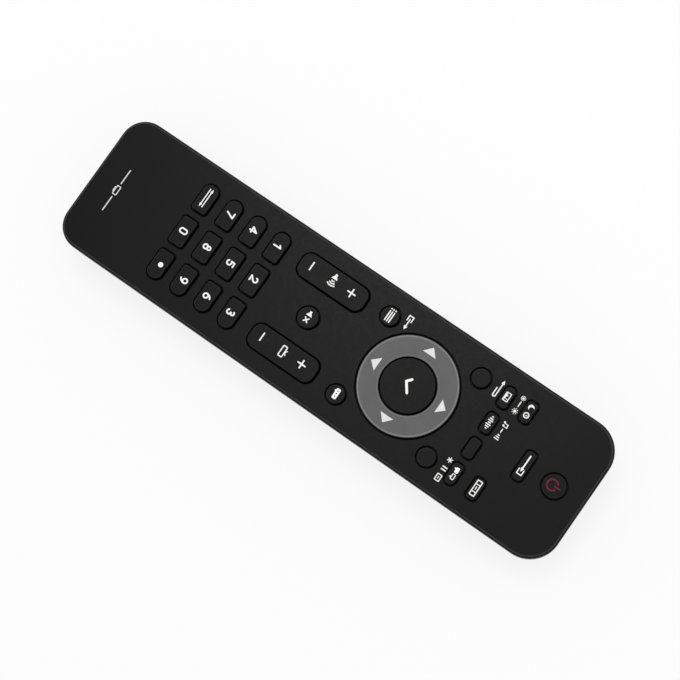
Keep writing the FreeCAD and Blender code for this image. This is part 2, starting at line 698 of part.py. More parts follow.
def top_housing():
    shell = case_block(0, PARTING_HEIGHT, face_height)
    shell = shell.makeFillet(FACE_EDGE_RADIUS, edges_at(shell, face_height))
    shell = shell.cut(case_block(CASE_WALL, PARTING_HEIGHT - 1, inner_face))
    rebate_top = PARTING_HEIGHT + LIP_HEIGHT + LIP_CLEARANCE
    shell = shell.cut(case_block(lip_inset - LIP_CLEARANCE, PARTING_HEIGHT - 1, rebate_top))
    holes = [key.block(KEY_GAP, inner_face - 1, face_height + 1) for key in push_keys]
    for x in (-ROCKER_X, ROCKER_X):
        holes.append(rocker_block(x, KEY_GAP, inner_face - 1, face_height + 1))
    holes.append(cylinder(RING_DIAMETER + 2 * KEY_GAP, 0, ring_center.y, inner_face - 1, face_height + 1))
    shell = shell.cut(holes)
    flat_half_width = WIDTH / 2 - FACE_EDGE_RADIUS - HOLE_EDGE_RADIUS
    hole_edges = []
    for edge in edges_at(shell, face_height):
        middle = edge.CenterOfMass
        inside_x = abs(middle.x) < flat_half_width
        inside_y = abs(middle.y) < LENGTH / 2 - FACE_EDGE_RADIUS - HOLE_EDGE_RADIUS
        if inside_x and inside_y and edge.Length < LENGTH / 2:
            hole_edges.append(edge)
    hole_edges = [edge for edge in hole_edges if not on_case_corner(edge)]
    shell = shell.makeFillet(HOLE_EDGE_RADIUS, hole_edges)
    pieces = [case_ring(CASE_WALL, LEDGE_WIDTH, mat_top, inner_face)]
    for x, y in screw_places:
        pieces.append(cylinder(upper_boss_diameter, x, y, boss_joint_z, inner_face))
    for x in (-HOOK_X, HOOK_X):
        pieces.append(hook(x))
    for x in (-ROCKER_X, ROCKER_X):
        pieces += rocker_bearings(x)
    shell = shell.fuse(pieces)
    pilot_diameter = SCREW_DIAMETER + 2 * SCREW_PILOT_CLEARANCE
    for x, y in screw_places:
        shell = shell.cut(cylinder(pilot_diameter, x, y, boss_joint_z, screw_end + SCREW_TIP))
    shell = shell.cut(window_opening(WINDOW_CLEARANCE))
    write("top_housing", [shell.removeSplitter()])


def on_case_corner(edge):
    """True for the rounded corners of the flat face, where its rim starts."""
    middle = edge.CenterOfMass
    reach = max(POWER_END_CORNER, BATTERY_END_CORNER)
    return abs(middle.x) > WIDTH / 2 - reach and abs(middle.y) > LENGTH / 2 - reach


def door_zone(margin, y1, z1):
    """The part of the lower case that the door takes up, with a margin round it."""
    half_width = DOOR_WIDTH / 2 + margin
    return box(-half_width, half_width, battery_end - 1, y1, -1, z1)


# The door's rails run just outside the walls of the bay, and hook over a shelf at each side
bulkhead_start = bay_start - BAY_WALL
bay_wall_x = bay_half_width + BAY_WALL
rail_x0 = bay_wall_x + DOOR_RAIL_CLEARANCE
rail_x1 = rail_x0 + DOOR_RAIL_WALL
rail_reach_x = rail_x1 + DOOR_RAIL_REACH
shelf_edge_x = rail_x1 + DOOR_SIDE_GAP
shelf_top = door_gap_z + DOOR_SHELF_THICKNESS
rail_bottom = shelf_top + DOOR_LIFT_GAP
rail_top = rail_bottom + DOOR_RAIL_THICKNESS


def battery_door():
    shell = case_back(0, PARTING_HEIGHT).cut(case_back(DOOR_THICKNESS, PARTING_HEIGHT + 1))
    door = shell.common(door_zone(0, door_edge, BACK_EDGE_RADIUS))
    for side in (-1, 1):
        rail_start = battery_end + DOOR_RAIL_INSET
        rail_end = bay_end - DOOR_SIDE_GAP
        riser_x = sorted((side * rail_x0, side * rail_x1))
        tongue_x = sorted((side * rail_x0, side * rail_reach_x))
        riser = box(riser_x[0], riser_x[1], rail_start, rail_end, DOOR_THICKNESS / 2, rail_top)
        tongue = box(tongue_x[0], tongue_x[1], rail_start, rail_end, rail_bottom, rail_top)
        door = door.fuse([riser, tongue])
    grip_start = door_edge - GRIP_FROM_DOOR_EDGE - GRIP_LENGTH
    for index in range(int(GRIP_LENGTH / GRIP_PITCH) + 1):
        y = grip_start + index * GRIP_PITCH
        door = door.cut(box(-GRIP_WIDTH / 2, GRIP_WIDTH / 2, y, y + GRIP_RIDGE, -1, GRIP_DEPTH))
    arrow_base = grip_start - ARROW_GAP
    corners = (
        Vector(-ARROW_WIDTH / 2, arrow_base, -1),
        Vector(ARROW_WIDTH / 2, arrow_base, -1),
        Vector(0, arrow_base - ARROW_LENGTH, -1),
        Vector(-ARROW_WIDTH / 2, arrow_base, -1),
    )
    arrow = Part.Face(Part.makePolygon(corners)).extrude(Vector(0, 0, 1 + GRIP_DEPTH))
    door = door.cut(arrow)
    write("battery_door", [door.removeSplitter()])


def bay_structure():
    """Walls, bulkheads, ceiling and door shelves round the two cells."""
    rib_top = PARTING_HEIGHT - LIP_HEIGHT
    half_case = WIDTH / 2
    bulkhead_bottom = rail_top + DOOR_LIFT_GAP
    bay_block = box(-bay_wall_x, bay_wall_x, bulkhead_start, bay_end + BAY_WALL,
                    door_gap_z, board_bottom)
    bay_room = box(-bay_half_width, bay_half_width, bay_start, bay_end, -1, ceiling_z)
    end_rib = box(-half_case, half_case, bulkhead_start, bay_start, bulkhead_bottom, rib_top)
    inner_rib = box(-half_case, half_case, bay_end, bay_end + BAY_WALL, door_gap_z, rib_top)
    shelves = [
        box(shelf_edge_x, DOOR_WIDTH / 2 + DOOR_SHELF_REACH, bulkhead_start, door_edge + BAY_WALL,
            door_gap_z, shelf_top),
        box(-DOOR_WIDTH / 2 - DOOR_SHELF_REACH, -shelf_edge_x, bulkhead_start,
            door_edge + BAY_WALL, door_gap_z, shelf_top),
        box(-DOOR_WIDTH / 2 - DOOR_SHELF_REACH, DOOR_WIDTH / 2 + DOOR_SHELF_REACH, bay_end,
            door_edge + BAY_WALL, door_gap_z, shelf_top),
    ]
    ribs = end_rib.fuse([inner_rib] + shelves)
    ribs = ribs.common(case_back(CASE_WALL / 2, PARTING_HEIGHT))
    return bay_block.fuse(ribs).cut(bay_room)


def door_cut():
    """Everything that is taken out of the lower case so that the door and its rails slide."""
    zone = door_zone(DOOR_SIDE_GAP, door_edge + DOOR_SIDE_GAP, BACK_EDGE_RADIUS + DOOR_SIDE_GAP)
    skin = zone.cut(case_back(door_gap_z, PARTING_HEIGHT + 1))
    end_gap = box(-DOOR_WIDTH / 2 - DOOR_SIDE_GAP, DOOR_WIDTH / 2 + DOOR_SIDE_GAP,
                  battery_end - 1, bulkhead_start, -1, BACK_EDGE_RADIUS + DOOR_SIDE_GAP)
    rail_slots = []
    for side in (-1, 1):
        slot_x = sorted((side * bay_wall_x, side * shelf_edge_x))
        rail_slots.append(box(slot_x[0], slot_x[1], battery_end - 1, bay_end, -1, shelf_top))
    floor = box(-bay_half_width, bay_half_width, bay_start, bay_end, -1, cell_axis_z)
    return skin.fuse([end_gap, floor] + rail_slots)


def bottom_housing():
    shell = case_back(0, PARTING_HEIGHT).cut(case_back(CASE_WALL, PARTING_HEIGHT + 1))
    seam = case_ring(-1, 1 + SEAM_DEPTH, PARTING_HEIGHT - SEAM_HEIGHT, PARTING_HEIGHT + 1)
    shell = shell.cut(seam)
    lip = case_ring(lip_inset, LIP_WALL, PARTING_HEIGHT - LIP_HEIGHT, PARTING_HEIGHT + LIP_HEIGHT)
    pieces = [lip, bay_structure()]
    for x, y in screw_places:
        pieces.append(cylinder(screw_well_diameter + 2 * BOSS_WALL, x, y, CASE_WALL / 2,
                               screw_seat + BOSS_FLOOR))
        pieces.append(cylinder(lower_boss_diameter, x, y, CASE_WALL / 2, boss_joint_z))
    for from_end in POST_FROM_END:
        for x in (-POST_X, POST_X):
            post = cylinder(POST_DIAMETER, x, power_end - from_end, CASE_WALL / 2, board_bottom)
            pieces.append(post)
    cradle_start = (lamp_body_start + lamp_body_end - CRADLE_THICKNESS) / 2
    cradle = box(-CRADLE_WIDTH / 2, CRADLE_WIDTH / 2, cradle_start, cradle_start + CRADLE_THICKNESS,
                 CASE_WALL / 2, lamp_z)
    cradle_notch = rod_along_y(LAMP_DIAMETER + 2 * CRADLE_CLEARANCE, 0, cradle_start - 1,
                               cradle_start + CRADLE_THICKNESS + 1, lamp_z)
    pieces.append(cradle.cut(cradle_notch))
    shell = shell.fuse(pieces)
    shell = shell.cut(door_cut())
    for x, y in screw_places:
        shell = shell.cut(cylinder(screw_well_diameter, x, y, -1, screw_seat))
        shell = shell.cut(cylinder(SCREW_DIAMETER + 2 * SCREW_HOLE_CLEARANCE, x, y, screw_seat,
                                   boss_joint_z + 1))
    for x in (-HOOK_X, HOOK_X):
        shell = shell.cut(hook_pocket(x))
    shell = shell.cut(window_opening(WINDOW_CLEARANCE))
    for x in contact_tab_places():
        shell = shell.cut(contact_slot(x))
    write("bottom_housing", [shell.removeSplitter()])


# Cell contacts
left_cell_x = -CELL_SPACING / 2
right_cell_x = CELL_SPACING / 2
bridge_face_y = bay_start + CONTACT_THICKNESS
terminal_face_y = bay_end - CONTACT_THICKNESS


def contact_tab_places():
    return (left_cell_x, right_cell_x)


def contact_slot(x):
    half_width = CONTACT_TAB_WIDTH / 2 + CONTACT_SLOT_CLEARANCE
    return box(x - half_width, x + half_width, terminal_face_y - CONTACT_SLOT_CLEARANCE, bay_end,
               ceiling_z - 1, board_bottom + 1)


def cell(name, x, y, direction):
    """A cell lying along Y, with its tip at the end that direction points to."""
    axis = Vector(0, direction, 0)
    can_length = CELL_LENGTH - CELL_TIP_LENGTH - CELL_SHOULDER_LENGTH
    base = Vector(x, y, cell_axis_z)
    can = Part.makeCylinder(CELL_DIAMETER / 2, can_length, base, axis)
    rims = [edge for edge in can.Edges if len(edge.Vertexes) == 1]
    can = can.makeFillet(CELL_EDGE_RADIUS, rims)
    shoulder_base = base + axis * can_length
    shoulder = Part.makeCylinder(CELL_SHOULDER_DIAMETER / 2, CELL_SHOULDER_LENGTH, shoulder_base, axis)
    tip_base = shoulder_base + axis * CELL_SHOULDER_LENGTH
    tip = Part.makeCylinder(CELL_TIP_DIAMETER / 2, CELL_TIP_LENGTH, tip_base, axis)
    write(name, [can.fuse([shoulder, tip]).removeSplitter()])


def contact_plate(x0, x1, y0, y1):
    z0 = cell_axis_z - CONTACT_HEIGHT / 2
    return box(x0, x1, y0, y1, z0, z0 + CONTACT_HEIGHT)


def contacts():
    half_width = CONTACT_WIDTH / 2
    write("bridge_contact", [contact_plate(left_cell_x - half_width, right_cell_x + half_width,
                                           bay_start, bridge_face_y)])
    for name, x in (("positive_terminal", left_cell_x), ("negative_terminal", right_cell_x)):
        plate = contact_plate(x - half_width, x + half_width, terminal_face_y, bay_end)
        tab = box(x - CONTACT_TAB_WIDTH / 2, x + CONTACT_TAB_WIDTH / 2, terminal_face_y, bay_end,
                  cell_axis_z, board_bottom)
        write(name, [plate.fuse(tab).removeSplitter()])


def arc_from(start, tangent, end):
    """The arc that leaves start along tangent and reaches end."""
    chord = end - start
    chord_direction = Vector(chord).normalize()
    half_angle = tangent.getAngle(chord_direction) / 2
    reach = chord.Length / (2 * math.cos(half_angle))
    middle = start + (tangent + chord_direction).normalize() * reach
    return Part.Arc(start, middle, end).toShape()


def biarc(start, start_tangent, end, end_tangent):
    """Two arcs that join two points, smooth at both ends and where they meet."""
    chord = end - start
    tangent_sum = start_tangent + end_tangent
    spread = 2 * (1 - start_tangent.dot(end_tangent))
    across = chord.dot(tangent_sum)
    reach = (-across + math.sqrt(across ** 2 + 2 * spread * chord.dot(chord) / 2)) / spread
    joint = (start + end + (start_tangent - end_tangent) * reach) * 0.5
    first = arc_from(start, start_tangent, joint)
    second = arc_from(end, end_tangent * -1, joint)
    return [first, second]


def spring_point(x, y0, pitch, angle):
    radius = (SPRING_DIAMETER - SPRING_WIRE) / 2
    return Vector(x + radius * math.cos(angle), y0 + pitch * angle / (2 * math.pi),
                  cell_axis_z + radius * math.sin(angle))


def spring_tangent(pitch, angle):
    radius = (SPRING_DIAMETER - SPRING_WIRE) / 2
    return Vector(-radius * math.sin(angle), pitch / (2 * math.pi), radius * math.cos(angle)).normalize()


def battery_spring(name, x, y0):
    """A coil of round wire, one quarter turn at a time, between a contact and a cell."""
    start_y = y0 + SPRING_WIRE / 2 + SPRING_END_CLEARANCE
    pitch = (SPRING_LENGTH - SPRING_WIRE - 2 * SPRING_END_CLEARANCE) / SPRING_TURNS
    edges = []
    quarters = 4 * SPRING_TURNS
    for quarter in range(quarters):
        angle = quarter * math.pi / 2
        next_angle = angle + math.pi / 2
        edges += biarc(spring_point(x, start_y, pitch, angle), spring_tangent(pitch, angle),
                       spring_point(x, start_y, pitch, next_angle),
                       spring_tangent(pitch, next_angle))
    path = Part.Wire(Part.__sortEdges__(edges))
    start = spring_point(x, start_y, pitch, 0)
    circle = Part.Circle(start, spring_tangent(pitch, 0), SPRING_WIRE / 2)
    sweep = Part.BRepOffsetAPI.MakePipeShell(path)
    sweep.add(Part.Wire(circle.toShape()))
    sweep.build()
    sweep.makeSolid()
    print(name, "least gap between turns:", round(least_turn_gap(x, start_y, pitch), 3))
    write(name, [Part.Solid(sweep.shape())])


def least_turn_gap(x, start_y, pitch):
    """Measured on points of the coil that are more than half a turn apart."""
    steps = 48
    angles = [2 * math.pi * index / steps for index in range(steps * SPRING_TURNS + 1)]
    points = [spring_point(x, start_y, pitch, angle) for angle in angles]
    gaps = []
    for index, here in enumerate(points):
        for there in points[index + steps // 2:]:
            gaps.append(here.distanceToPoint(there) - SPRING_WIRE)
    return min(gaps)


def keypad_mat():
    """Rubber web on the board, with a collar round each stem and room for the ring's pad."""
    mat = case_block(CASE_WALL + BOARD_CLEARANCE, board_top, mat_top)
    collar_top = mat_top + MAT_COLLAR_HEIGHT
    stems = [(key.x, key.y, KEY_STEM_CLEARANCE) for key in push_keys]
    for rocker_x in (-ROCKER_X, ROCKER_X):
        for x, y in rocker_contacts(rocker_x):
            stems.append((x, y, ROCKER_STEM_CLEARANCE))
    collars = []
    holes = []
    for x, y, clearance in stems:
        hole_diameter = KEY_STEM_DIAMETER + 2 * clearance
        collars.append(cylinder(hole_diameter + 2 * MAT_COLLAR_WALL, x, y, board_top, collar_top))
        holes.append(cylinder(hole_diameter, x, y, board_top - 1, collar_top + 1))
    holes.append(cylinder(2 * pad_mat_radius, 0, ring_center.y, board_top - 1, collar_top + 1))
    for x, y in screw_places:
        holes.append(cylinder(boss_hole_diameter, x, y, board_top - 1, collar_top + 1))
    write("keypad_mat", [mat.fuse(collars).cut(holes).removeSplitter()])


def circuit_board():
    board = case_block(CASE_WALL + BOARD_CLEARANCE, board_bottom, board_top)
    holes = []
    for x, y in screw_places:
        holes.append(cylinder(boss_hole_diameter, x, y, board_bottom - 1, board_top + 1))
    write("circuit_board", [board.cut(holes)])


def controller_chip():
    y = power_end - CHIP_FROM_END
    top = board_bottom - CHIP_STANDOFF
    bottom = top - CHIP_HEIGHT
    body = box(-CHIP_WIDTH / 2, CHIP_WIDTH / 2, y - CHIP_LENGTH / 2, y + CHIP_LENGTH / 2, bottom, top)
    pins = []
    middle_z = (bottom + top) / 2
    for index in range(CHIP_PINS_PER_SIDE):
        pin_y = y + (index - (CHIP_PINS_PER_SIDE - 1) / 2) * CHIP_PIN_PITCH
        y0 = pin_y - CHIP_PIN_WIDTH / 2
        y1 = pin_y + CHIP_PIN_WIDTH / 2
        for side in (-1, 1):
            edge_x = side * CHIP_WIDTH / 2
            knee_x = edge_x + side * CHIP_PIN_REACH / 2
            foot_x = edge_x + side * CHIP_PIN_REACH
            shoulder = sorted((edge_x, knee_x))
            leg = sorted((knee_x - side * CHIP_PIN_THICKNESS, knee_x))
            foot = sorted((knee_x - side * CHIP_PIN_THICKNESS, foot_x))
            pins.append(box(shoulder[0], shoulder[1], y0, y1, middle_z, middle_z + CHIP_PIN_THICKNESS))
            pins.append(box(leg[0], leg[1], y0, y1, middle_z, board_bottom))
            pins.append(box(foot[0], foot[1], y0, y1, board_bottom - CHIP_PIN_THICKNESS, board_bottom))
    write("controller_chip", [body.fuse(pins).removeSplitter()])


def pin_up(x, y, size, z0):
    """A square pin from a component's body up to the board."""
    half = size / 2
    return box(x - half, x + half, y - half, y + half, z0, board_bottom)


def resonator():
    x = RESONATOR_X
    y = power_end - RESONATOR_FROM_END
    top = board_bottom - COMPONENT_STANDOFF
    body = box(x - RESONATOR_LENGTH / 2, x + RESONATOR_LENGTH / 2, y - RESONATOR_WIDTH / 2,
               y + RESONATOR_WIDTH / 2, top - RESONATOR_HEIGHT, top)
    body = body.makeFillet(CAPACITOR_EDGE, body.Edges)
    pins = []
    for offset in (-RESONATOR_PIN_SPACING / 2, RESONATOR_PIN_SPACING / 2):
        pins.append(pin_up(x + offset, y, RESONATOR_PIN, top - RESONATOR_HEIGHT / 2))
    write("resonator", [body.fuse(pins).removeSplitter()])


def capacitor():
    y = power_end - CAPACITOR_FROM_END
    z = board_bottom - COMPONENT_STANDOFF - CAPACITOR_DIAMETER / 2
    x0 = CAPACITOR_X - CAPACITOR_LENGTH / 2
    can = Part.makeCylinder(CAPACITOR_DIAMETER / 2, CAPACITOR_LENGTH, Vector(x0, y, z), Vector(1, 0, 0))
    rims = [edge for edge in can.Edges if len(edge.Vertexes) == 1]
    can = can.makeFillet(CAPACITOR_EDGE, rims)
    leads = []
    for offset in (-CAPACITOR_DIAMETER / 4, CAPACITOR_DIAMETER / 4):
        lead_x = x0 + CAPACITOR_LENGTH + RESONATOR_PIN
        half = RESONATOR_PIN / 2
        leads.append(box(x0 + CAPACITOR_LENGTH - half, lead_x + half, y + offset - half,
                         y + offset + half, z - half, z + half))
        leads.append(pin_up(lead_x, y + offset, RESONATOR_PIN, z - half))
    write("capacitor", [can.fuse(leads).removeSplitter()])


def transistor():
    x = TRANSISTOR_X
    y = power_end - TRANSISTOR_FROM_END
    top = board_bottom - COMPONENT_STANDOFF
    body = cylinder(TRANSISTOR_DIAMETER, x, y, top - TRANSISTOR_HEIGHT, top)
    body = body.cut(box(x - TRANSISTOR_DIAMETER, x + TRANSISTOR_DIAMETER, y + TRANSISTOR_FLAT,
                        y + TRANSISTOR_DIAMETER, top - TRANSISTOR_HEIGHT - 1, top + 1))
    pins = []
    for index in (-1, 0, 1):
        pins.append(pin_up(x + index * TRANSISTOR_PIN_PITCH, y, TRANSISTOR_PIN,
                           top - TRANSISTOR_HEIGHT / 2))
    write("transistor", [body.fuse(pins).removeSplitter()])


def chip_resistors():
    resistors = []
    for index in range(RESISTOR_COUNT):
        y = power_end - RESISTOR_FROM_END + (index - (RESISTOR_COUNT - 1) / 2) * RESISTOR_PITCH
        resistors.append(box(RESISTOR_X - RESISTOR_LENGTH / 2, RESISTOR_X + RESISTOR_LENGTH / 2,
                             y - RESISTOR_WIDTH / 2, y + RESISTOR_WIDTH / 2,
                             board_bottom - RESISTOR_HEIGHT, board_bottom))
    write("chip_resistors", resistors)


top_housing()
bottom_housing()
battery_door()
keypad_mat()
circuit_board()
controller_chip()
resonator()
capacitor()
transistor()
chip_resistors()
ir_led()
ir_window()
contacts()
cell("battery_1", left_cell_x, bridge_face_y + SPRING_LENGTH, 1)
cell("battery_2", right_cell_x, bridge_face_y + CELL_LENGTH, -1)
battery_spring("battery_spring_1", left_cell_x, bridge_face_y)
battery_spring("battery_spring_2", right_cell_x, bridge_face_y + CELL_LENGTH)
case_screws()
for push_key in push_keys:
    write(push_key.name, push_key.solids())
rocker("volume_rocker", -ROCKER_X)
rocker("channel_rocker", ROCKER_X)
navigation_pad()
navigation_ring()
ok_key()
print("Case height", round(face_height, 3))
print("Rocker pivots at y, z:", round(rocker_y, 3), round(rocker_pivot_z, 3))
print("Ring pivot at y, z:", round(ring_center.y, 3), round(ring_pivot_z, 3))
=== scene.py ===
import json
import math

import bmesh
import bpy
import numpy as np
from mathutils import Matrix, Vector
from mathutils.geometry import tessellate_polygon


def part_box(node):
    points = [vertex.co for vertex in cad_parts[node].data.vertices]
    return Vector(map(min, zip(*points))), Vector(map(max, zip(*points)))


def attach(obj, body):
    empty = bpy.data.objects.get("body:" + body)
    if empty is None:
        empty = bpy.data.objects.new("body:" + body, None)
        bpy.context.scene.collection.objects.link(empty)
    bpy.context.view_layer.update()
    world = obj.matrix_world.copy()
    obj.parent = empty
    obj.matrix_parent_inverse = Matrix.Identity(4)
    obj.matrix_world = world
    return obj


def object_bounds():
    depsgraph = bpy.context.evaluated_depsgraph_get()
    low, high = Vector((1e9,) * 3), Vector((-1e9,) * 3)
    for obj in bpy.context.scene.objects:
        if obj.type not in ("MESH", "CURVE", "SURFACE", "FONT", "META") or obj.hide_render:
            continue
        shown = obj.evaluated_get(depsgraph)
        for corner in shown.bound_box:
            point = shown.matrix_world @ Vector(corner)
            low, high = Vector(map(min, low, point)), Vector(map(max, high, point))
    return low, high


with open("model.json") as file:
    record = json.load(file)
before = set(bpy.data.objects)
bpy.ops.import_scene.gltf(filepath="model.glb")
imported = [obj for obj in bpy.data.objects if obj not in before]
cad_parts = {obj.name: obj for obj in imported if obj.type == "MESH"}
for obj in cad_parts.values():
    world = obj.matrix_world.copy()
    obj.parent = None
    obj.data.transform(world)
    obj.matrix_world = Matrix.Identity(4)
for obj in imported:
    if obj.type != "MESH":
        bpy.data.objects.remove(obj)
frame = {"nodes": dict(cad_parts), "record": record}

# A television remote control lying on a white table, seen almost from above.
# Sizes are in millimetres where nothing else is said, and MM turns them into the scene's metres.
MM = 0.001
cad_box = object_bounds()

# Camera, in the frame of the part. Its focal length and the width of the image are in pixels.
CAMERA_PLACE = (29.98, 101.12, 546.4)
CAMERA_TARGET = (0.11, 3.75, 20.0)
CAMERA_UP = (-0.8173, -0.5565, 0.1493)
FOCAL_PIXELS = 1619.0
IMAGE_WIDTH = 680.0
SENSOR_WIDTH = 36.0

# Printed marks are thin solids that start just below the surface they are printed on. Their
# outlines are found on a grid, and points that lie almost on a straight run are left out.
INK_HEIGHT = 0.03
INK_DEPTH = 0.01
OUTLINE_STEP = 0.04
STRAIGHT_TOLERANCE = 0.003
WELD_DISTANCE = STRAIGHT_TOLERANCE / 100
LEAST_DISTANCE = 1e-9

# Sizes of the marks. The gap in the power sign's circle is in degrees, either way from its bar.
DIGIT_STROKE = 0.54
SIGN_LENGTH = 3.3
SIGN_STROKE = 0.5
SIGN_CORNER = 0.2
POWER_STROKE = 0.52
POWER_GAP = 34
ARROW_BASE = 12.15
ARROW_TIP = 14.9
ARROW_HALF_WIDTH = 2.5
ARROW_MARGIN = 0.2

# Places of the marks, from the middle of the key or ring that they are printed on. The sign for
# leaving a menu is placed from the menu key, and the screen from the battery end.
PRINT_SHIFT = -0.25
DIGIT_ROW_SHIFTS = (-0.1, 0.05, 0.2, 0.2)
DOT_PLACE = (-0.1, 0.5)
POWER_PLACE = (-0.05, -0.3)
PLUS_PLACE = (-0.4, 7.4)
MINUS_PLACE = (-0.45, -8.9)
ROCKER_SIGN_PLACE = (-0.4, -0.1)
ARROWS_PLACE = (-0.35, -0.05)
EXIT_PLACE = (-1.6, 6.05)
SCREEN_PLACE = (1.1, 10.2)

# Rounded edges and radii of the part, and the rectangle of the face that its openings lie in
FACE_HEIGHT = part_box("top_housing")[1].z / MM
FACE_EDGE = 1.3
OPENING_EDGE = 0.15
KEY_EDGE = 0.45
RING_RADIUS = 17.325
RING_HOLE_RADIUS = 9.6
OPENINGS_HALF_WIDTH = 21.6
OPENINGS_HALF_LENGTH = 94.0

# The two AAA cells lie side by side along Y, one turned round.
cell_low, cell_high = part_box("battery_1")
CELL_LENGTH = (cell_high.y - cell_low.y) / MM

# The case's plastic, and the two values that most of a noise lies between
CASE_COLOUR = (0.0025, 0.0025, 0.0026)
NOISE_LOW = 0.3
NOISE_HIGH = 0.7

# Table and light, in metres and watts. The floor's own colour takes the shadow, and the lift
# makes the rest white.
FLOOR_HALF_SIZE = 3.0
FLOOR_DROP = 0.03 * MM
FLOOR_COLOUR = (0.17, 0.17, 0.17)
FLOOR_LIFT = 0.81
ROOM_LIGHT = 0.7
SOFTBOX_PLACE = (-0.35, 0.1, 1.1)
SOFTBOX_SIZE = 1.2
SOFTBOX_POWER = 2.5
LAMP_PLACE = (-0.25, -0.19, 1.1)
LAMP_SIZE = 0.3
LAMP_POWER = 2.5


def new_material(name, colour, roughness, specular=0.5, metallic=0.0):
    """A named material with its constant values on the shader, and its shader node."""
    material = bpy.data.materials.new(name)
    material.use_nodes = True
    shader = material.node_tree.nodes["Principled BSDF"]
    shader.inputs["Base Color"].default_value = (*colour, 1.0)
    shader.inputs["Roughness"].default_value = roughness
    shader.inputs["Specular IOR Level"].default_value = specular
    shader.inputs["Metallic"].default_value = metallic
    return material, shader


def add_node(owner, kind, **settings):
    """A new node in a material or in the world."""
    node = owner.node_tree.nodes.new(kind)
    for name, value in settings.items():
        setattr(node, name, value)
    return node


def join(owner, output, target):
    owner.node_tree.links.new(output, target)


def object_place(material):
    """Coordinates in metres that stay on the piece when it moves."""
    return add_node(material, "ShaderNodeTexCoord").outputs["Object"]


def noise(material, size_mm, detail=2.0, stretch=(1, 1, 1)):
    """Cloudy noise whose blotches are about size_mm across."""
    mapping = add_node(material, "ShaderNodeMapping")
    mapping.inputs["Scale"].default_value = stretch
    join(material, object_place(material), mapping.inputs["Vector"])
    node = add_node(material, "ShaderNodeTexNoise")
    node.inputs["Scale"].default_value = 1 / (size_mm * MM)
    node.inputs["Detail"].default_value = detail
    join(material, mapping.outputs["Vector"], node.inputs["Vector"])
    return node.outputs["Fac"]


def colour_ramp(material, factor, stops, interpolation="LINEAR"):
    """Colours along a factor, as (position, colour)."""
    ramp = add_node(material, "ShaderNodeValToRGB")
    ramp.color_ramp.interpolation = interpolation
    elements = ramp.color_ramp.elements
    for index in (0, -1):
        position, colour = stops[index]
        elements[index].position = position
        elements[index].color = (*colour, 1)
    for position, colour in stops[1:-1]:
        elements.new(position).color = (*colour, 1)
    join(material, factor, ramp.inputs["Fac"])
    return ramp.outputs["Color"]


def grey_ramp(material, factor, stops, interpolation="LINEAR"):
    """Plain greys along a factor, as (position, grey)."""
    colours = [(position, (grey, grey, grey)) for position, grey in stops]
    return colour_ramp(material, factor, colours, interpolation)


def vary_colour(material, shader, factor, low, high):
    colour = colour_ramp(material, factor, ((NOISE_LOW, low), (NOISE_HIGH, high)))
    join(material, colour, shader.inputs["Base Color"])


def vary_roughness(material, shader, factor, low, high):
    spread = add_node(material, "ShaderNodeMapRange")
    spread.inputs["From Min"].default_value = NOISE_LOW
    spread.inputs["From Max"].default_value = NOISE_HIGH
    spread.inputs["To Min"].default_value = low
    spread.inputs["To Max"].default_value = high
    join(material, factor, spread.inputs["Value"])
    join(material, spread.outputs["Result"], shader.inputs["Roughness"])


def add_bump(material, shader, factor, height_mm):
    bump = add_node(material, "ShaderNodeBump")
    bump.inputs["Distance"].default_value = height_mm * MM
    bump.inputs["Strength"].default_value = 1.0
    join(material, factor, bump.inputs["Height"])
    join(material, bump.outputs["Normal"], shader.inputs["Normal"])


def rounding_share(material, top, radius):
    """How far a rounded top edge has turned down: 0 on the flat top, and 1 on the side below."""
    split = add_node(material, "ShaderNodeSeparateXYZ")
    join(material, object_place(material), split.inputs["Vector"])
    drop = add_node(material, "ShaderNodeMapRange")
    drop.inputs["From Min"].default_value = top * MM
    drop.inputs["From Max"].default_value = (top - radius) * MM
    join(material, split.outputs["Z"], drop.inputs["Value"])
    share = add_node(material, "ShaderNodeMath", operation="SQRT")
    join(material, drop.outputs["Result"], share.inputs[0])
    return share.outputs[0]


def outside_of(material, half_x, half_y):
    """1 beyond a rectangle round the middle of the part, and 0 inside it."""
    split = add_node(material, "ShaderNodeSeparateXYZ")
    join(material, object_place(material), split.inputs["Vector"])
    either = add_node(material, "ShaderNodeMath", operation="MAXIMUM")
    for index, (axis, half) in enumerate((("X", half_x), ("Y", half_y))):
        size = add_node(material, "ShaderNodeMath", operation="ABSOLUTE")
        join(material, split.outputs[axis], size.inputs[0])
        beyond = add_node(material, "ShaderNodeMath", operation="GREATER_THAN")
        join(material, size.outputs[0], beyond.inputs[0])
        beyond.inputs[1].default_value = half * MM
        join(material, beyond.outputs[0], either.inputs[index])
    return either.outputs[0]


def mixed(material, kind, factor, first, second):
    """Two colours mixed by a number or by another node's output."""
    mix = add_node(material, "ShaderNodeMix", data_type="RGBA", blend_type=kind)
    if isinstance(factor, float):
        mix.inputs[0].default_value = factor
    else:
        join(material, factor, mix.inputs[0])
    join(material, first, mix.inputs[6])
    join(material, second, mix.inputs[7])
    return mix.outputs[2]


def clouded(material, shader, colour, factor, low, high):
    """The colour, made slightly darker and lighter in blotches."""
    blotches = grey_ramp(material, factor, ((NOISE_LOW, low), (NOISE_HIGH, high)))
    result = mixed(material, "MULTIPLY", 1.0, colour, blotches)
    join(material, result, shader.inputs["Base Color"])


def erode(material, shader):
    """Gives the case's plastic its spark-eroded surface."""
    vary_roughness(material, shader, noise(material, 1.2), 0.33, 0.39)
    add_bump(material, shader, noise(material, 0.16, 3.0), 0.012)


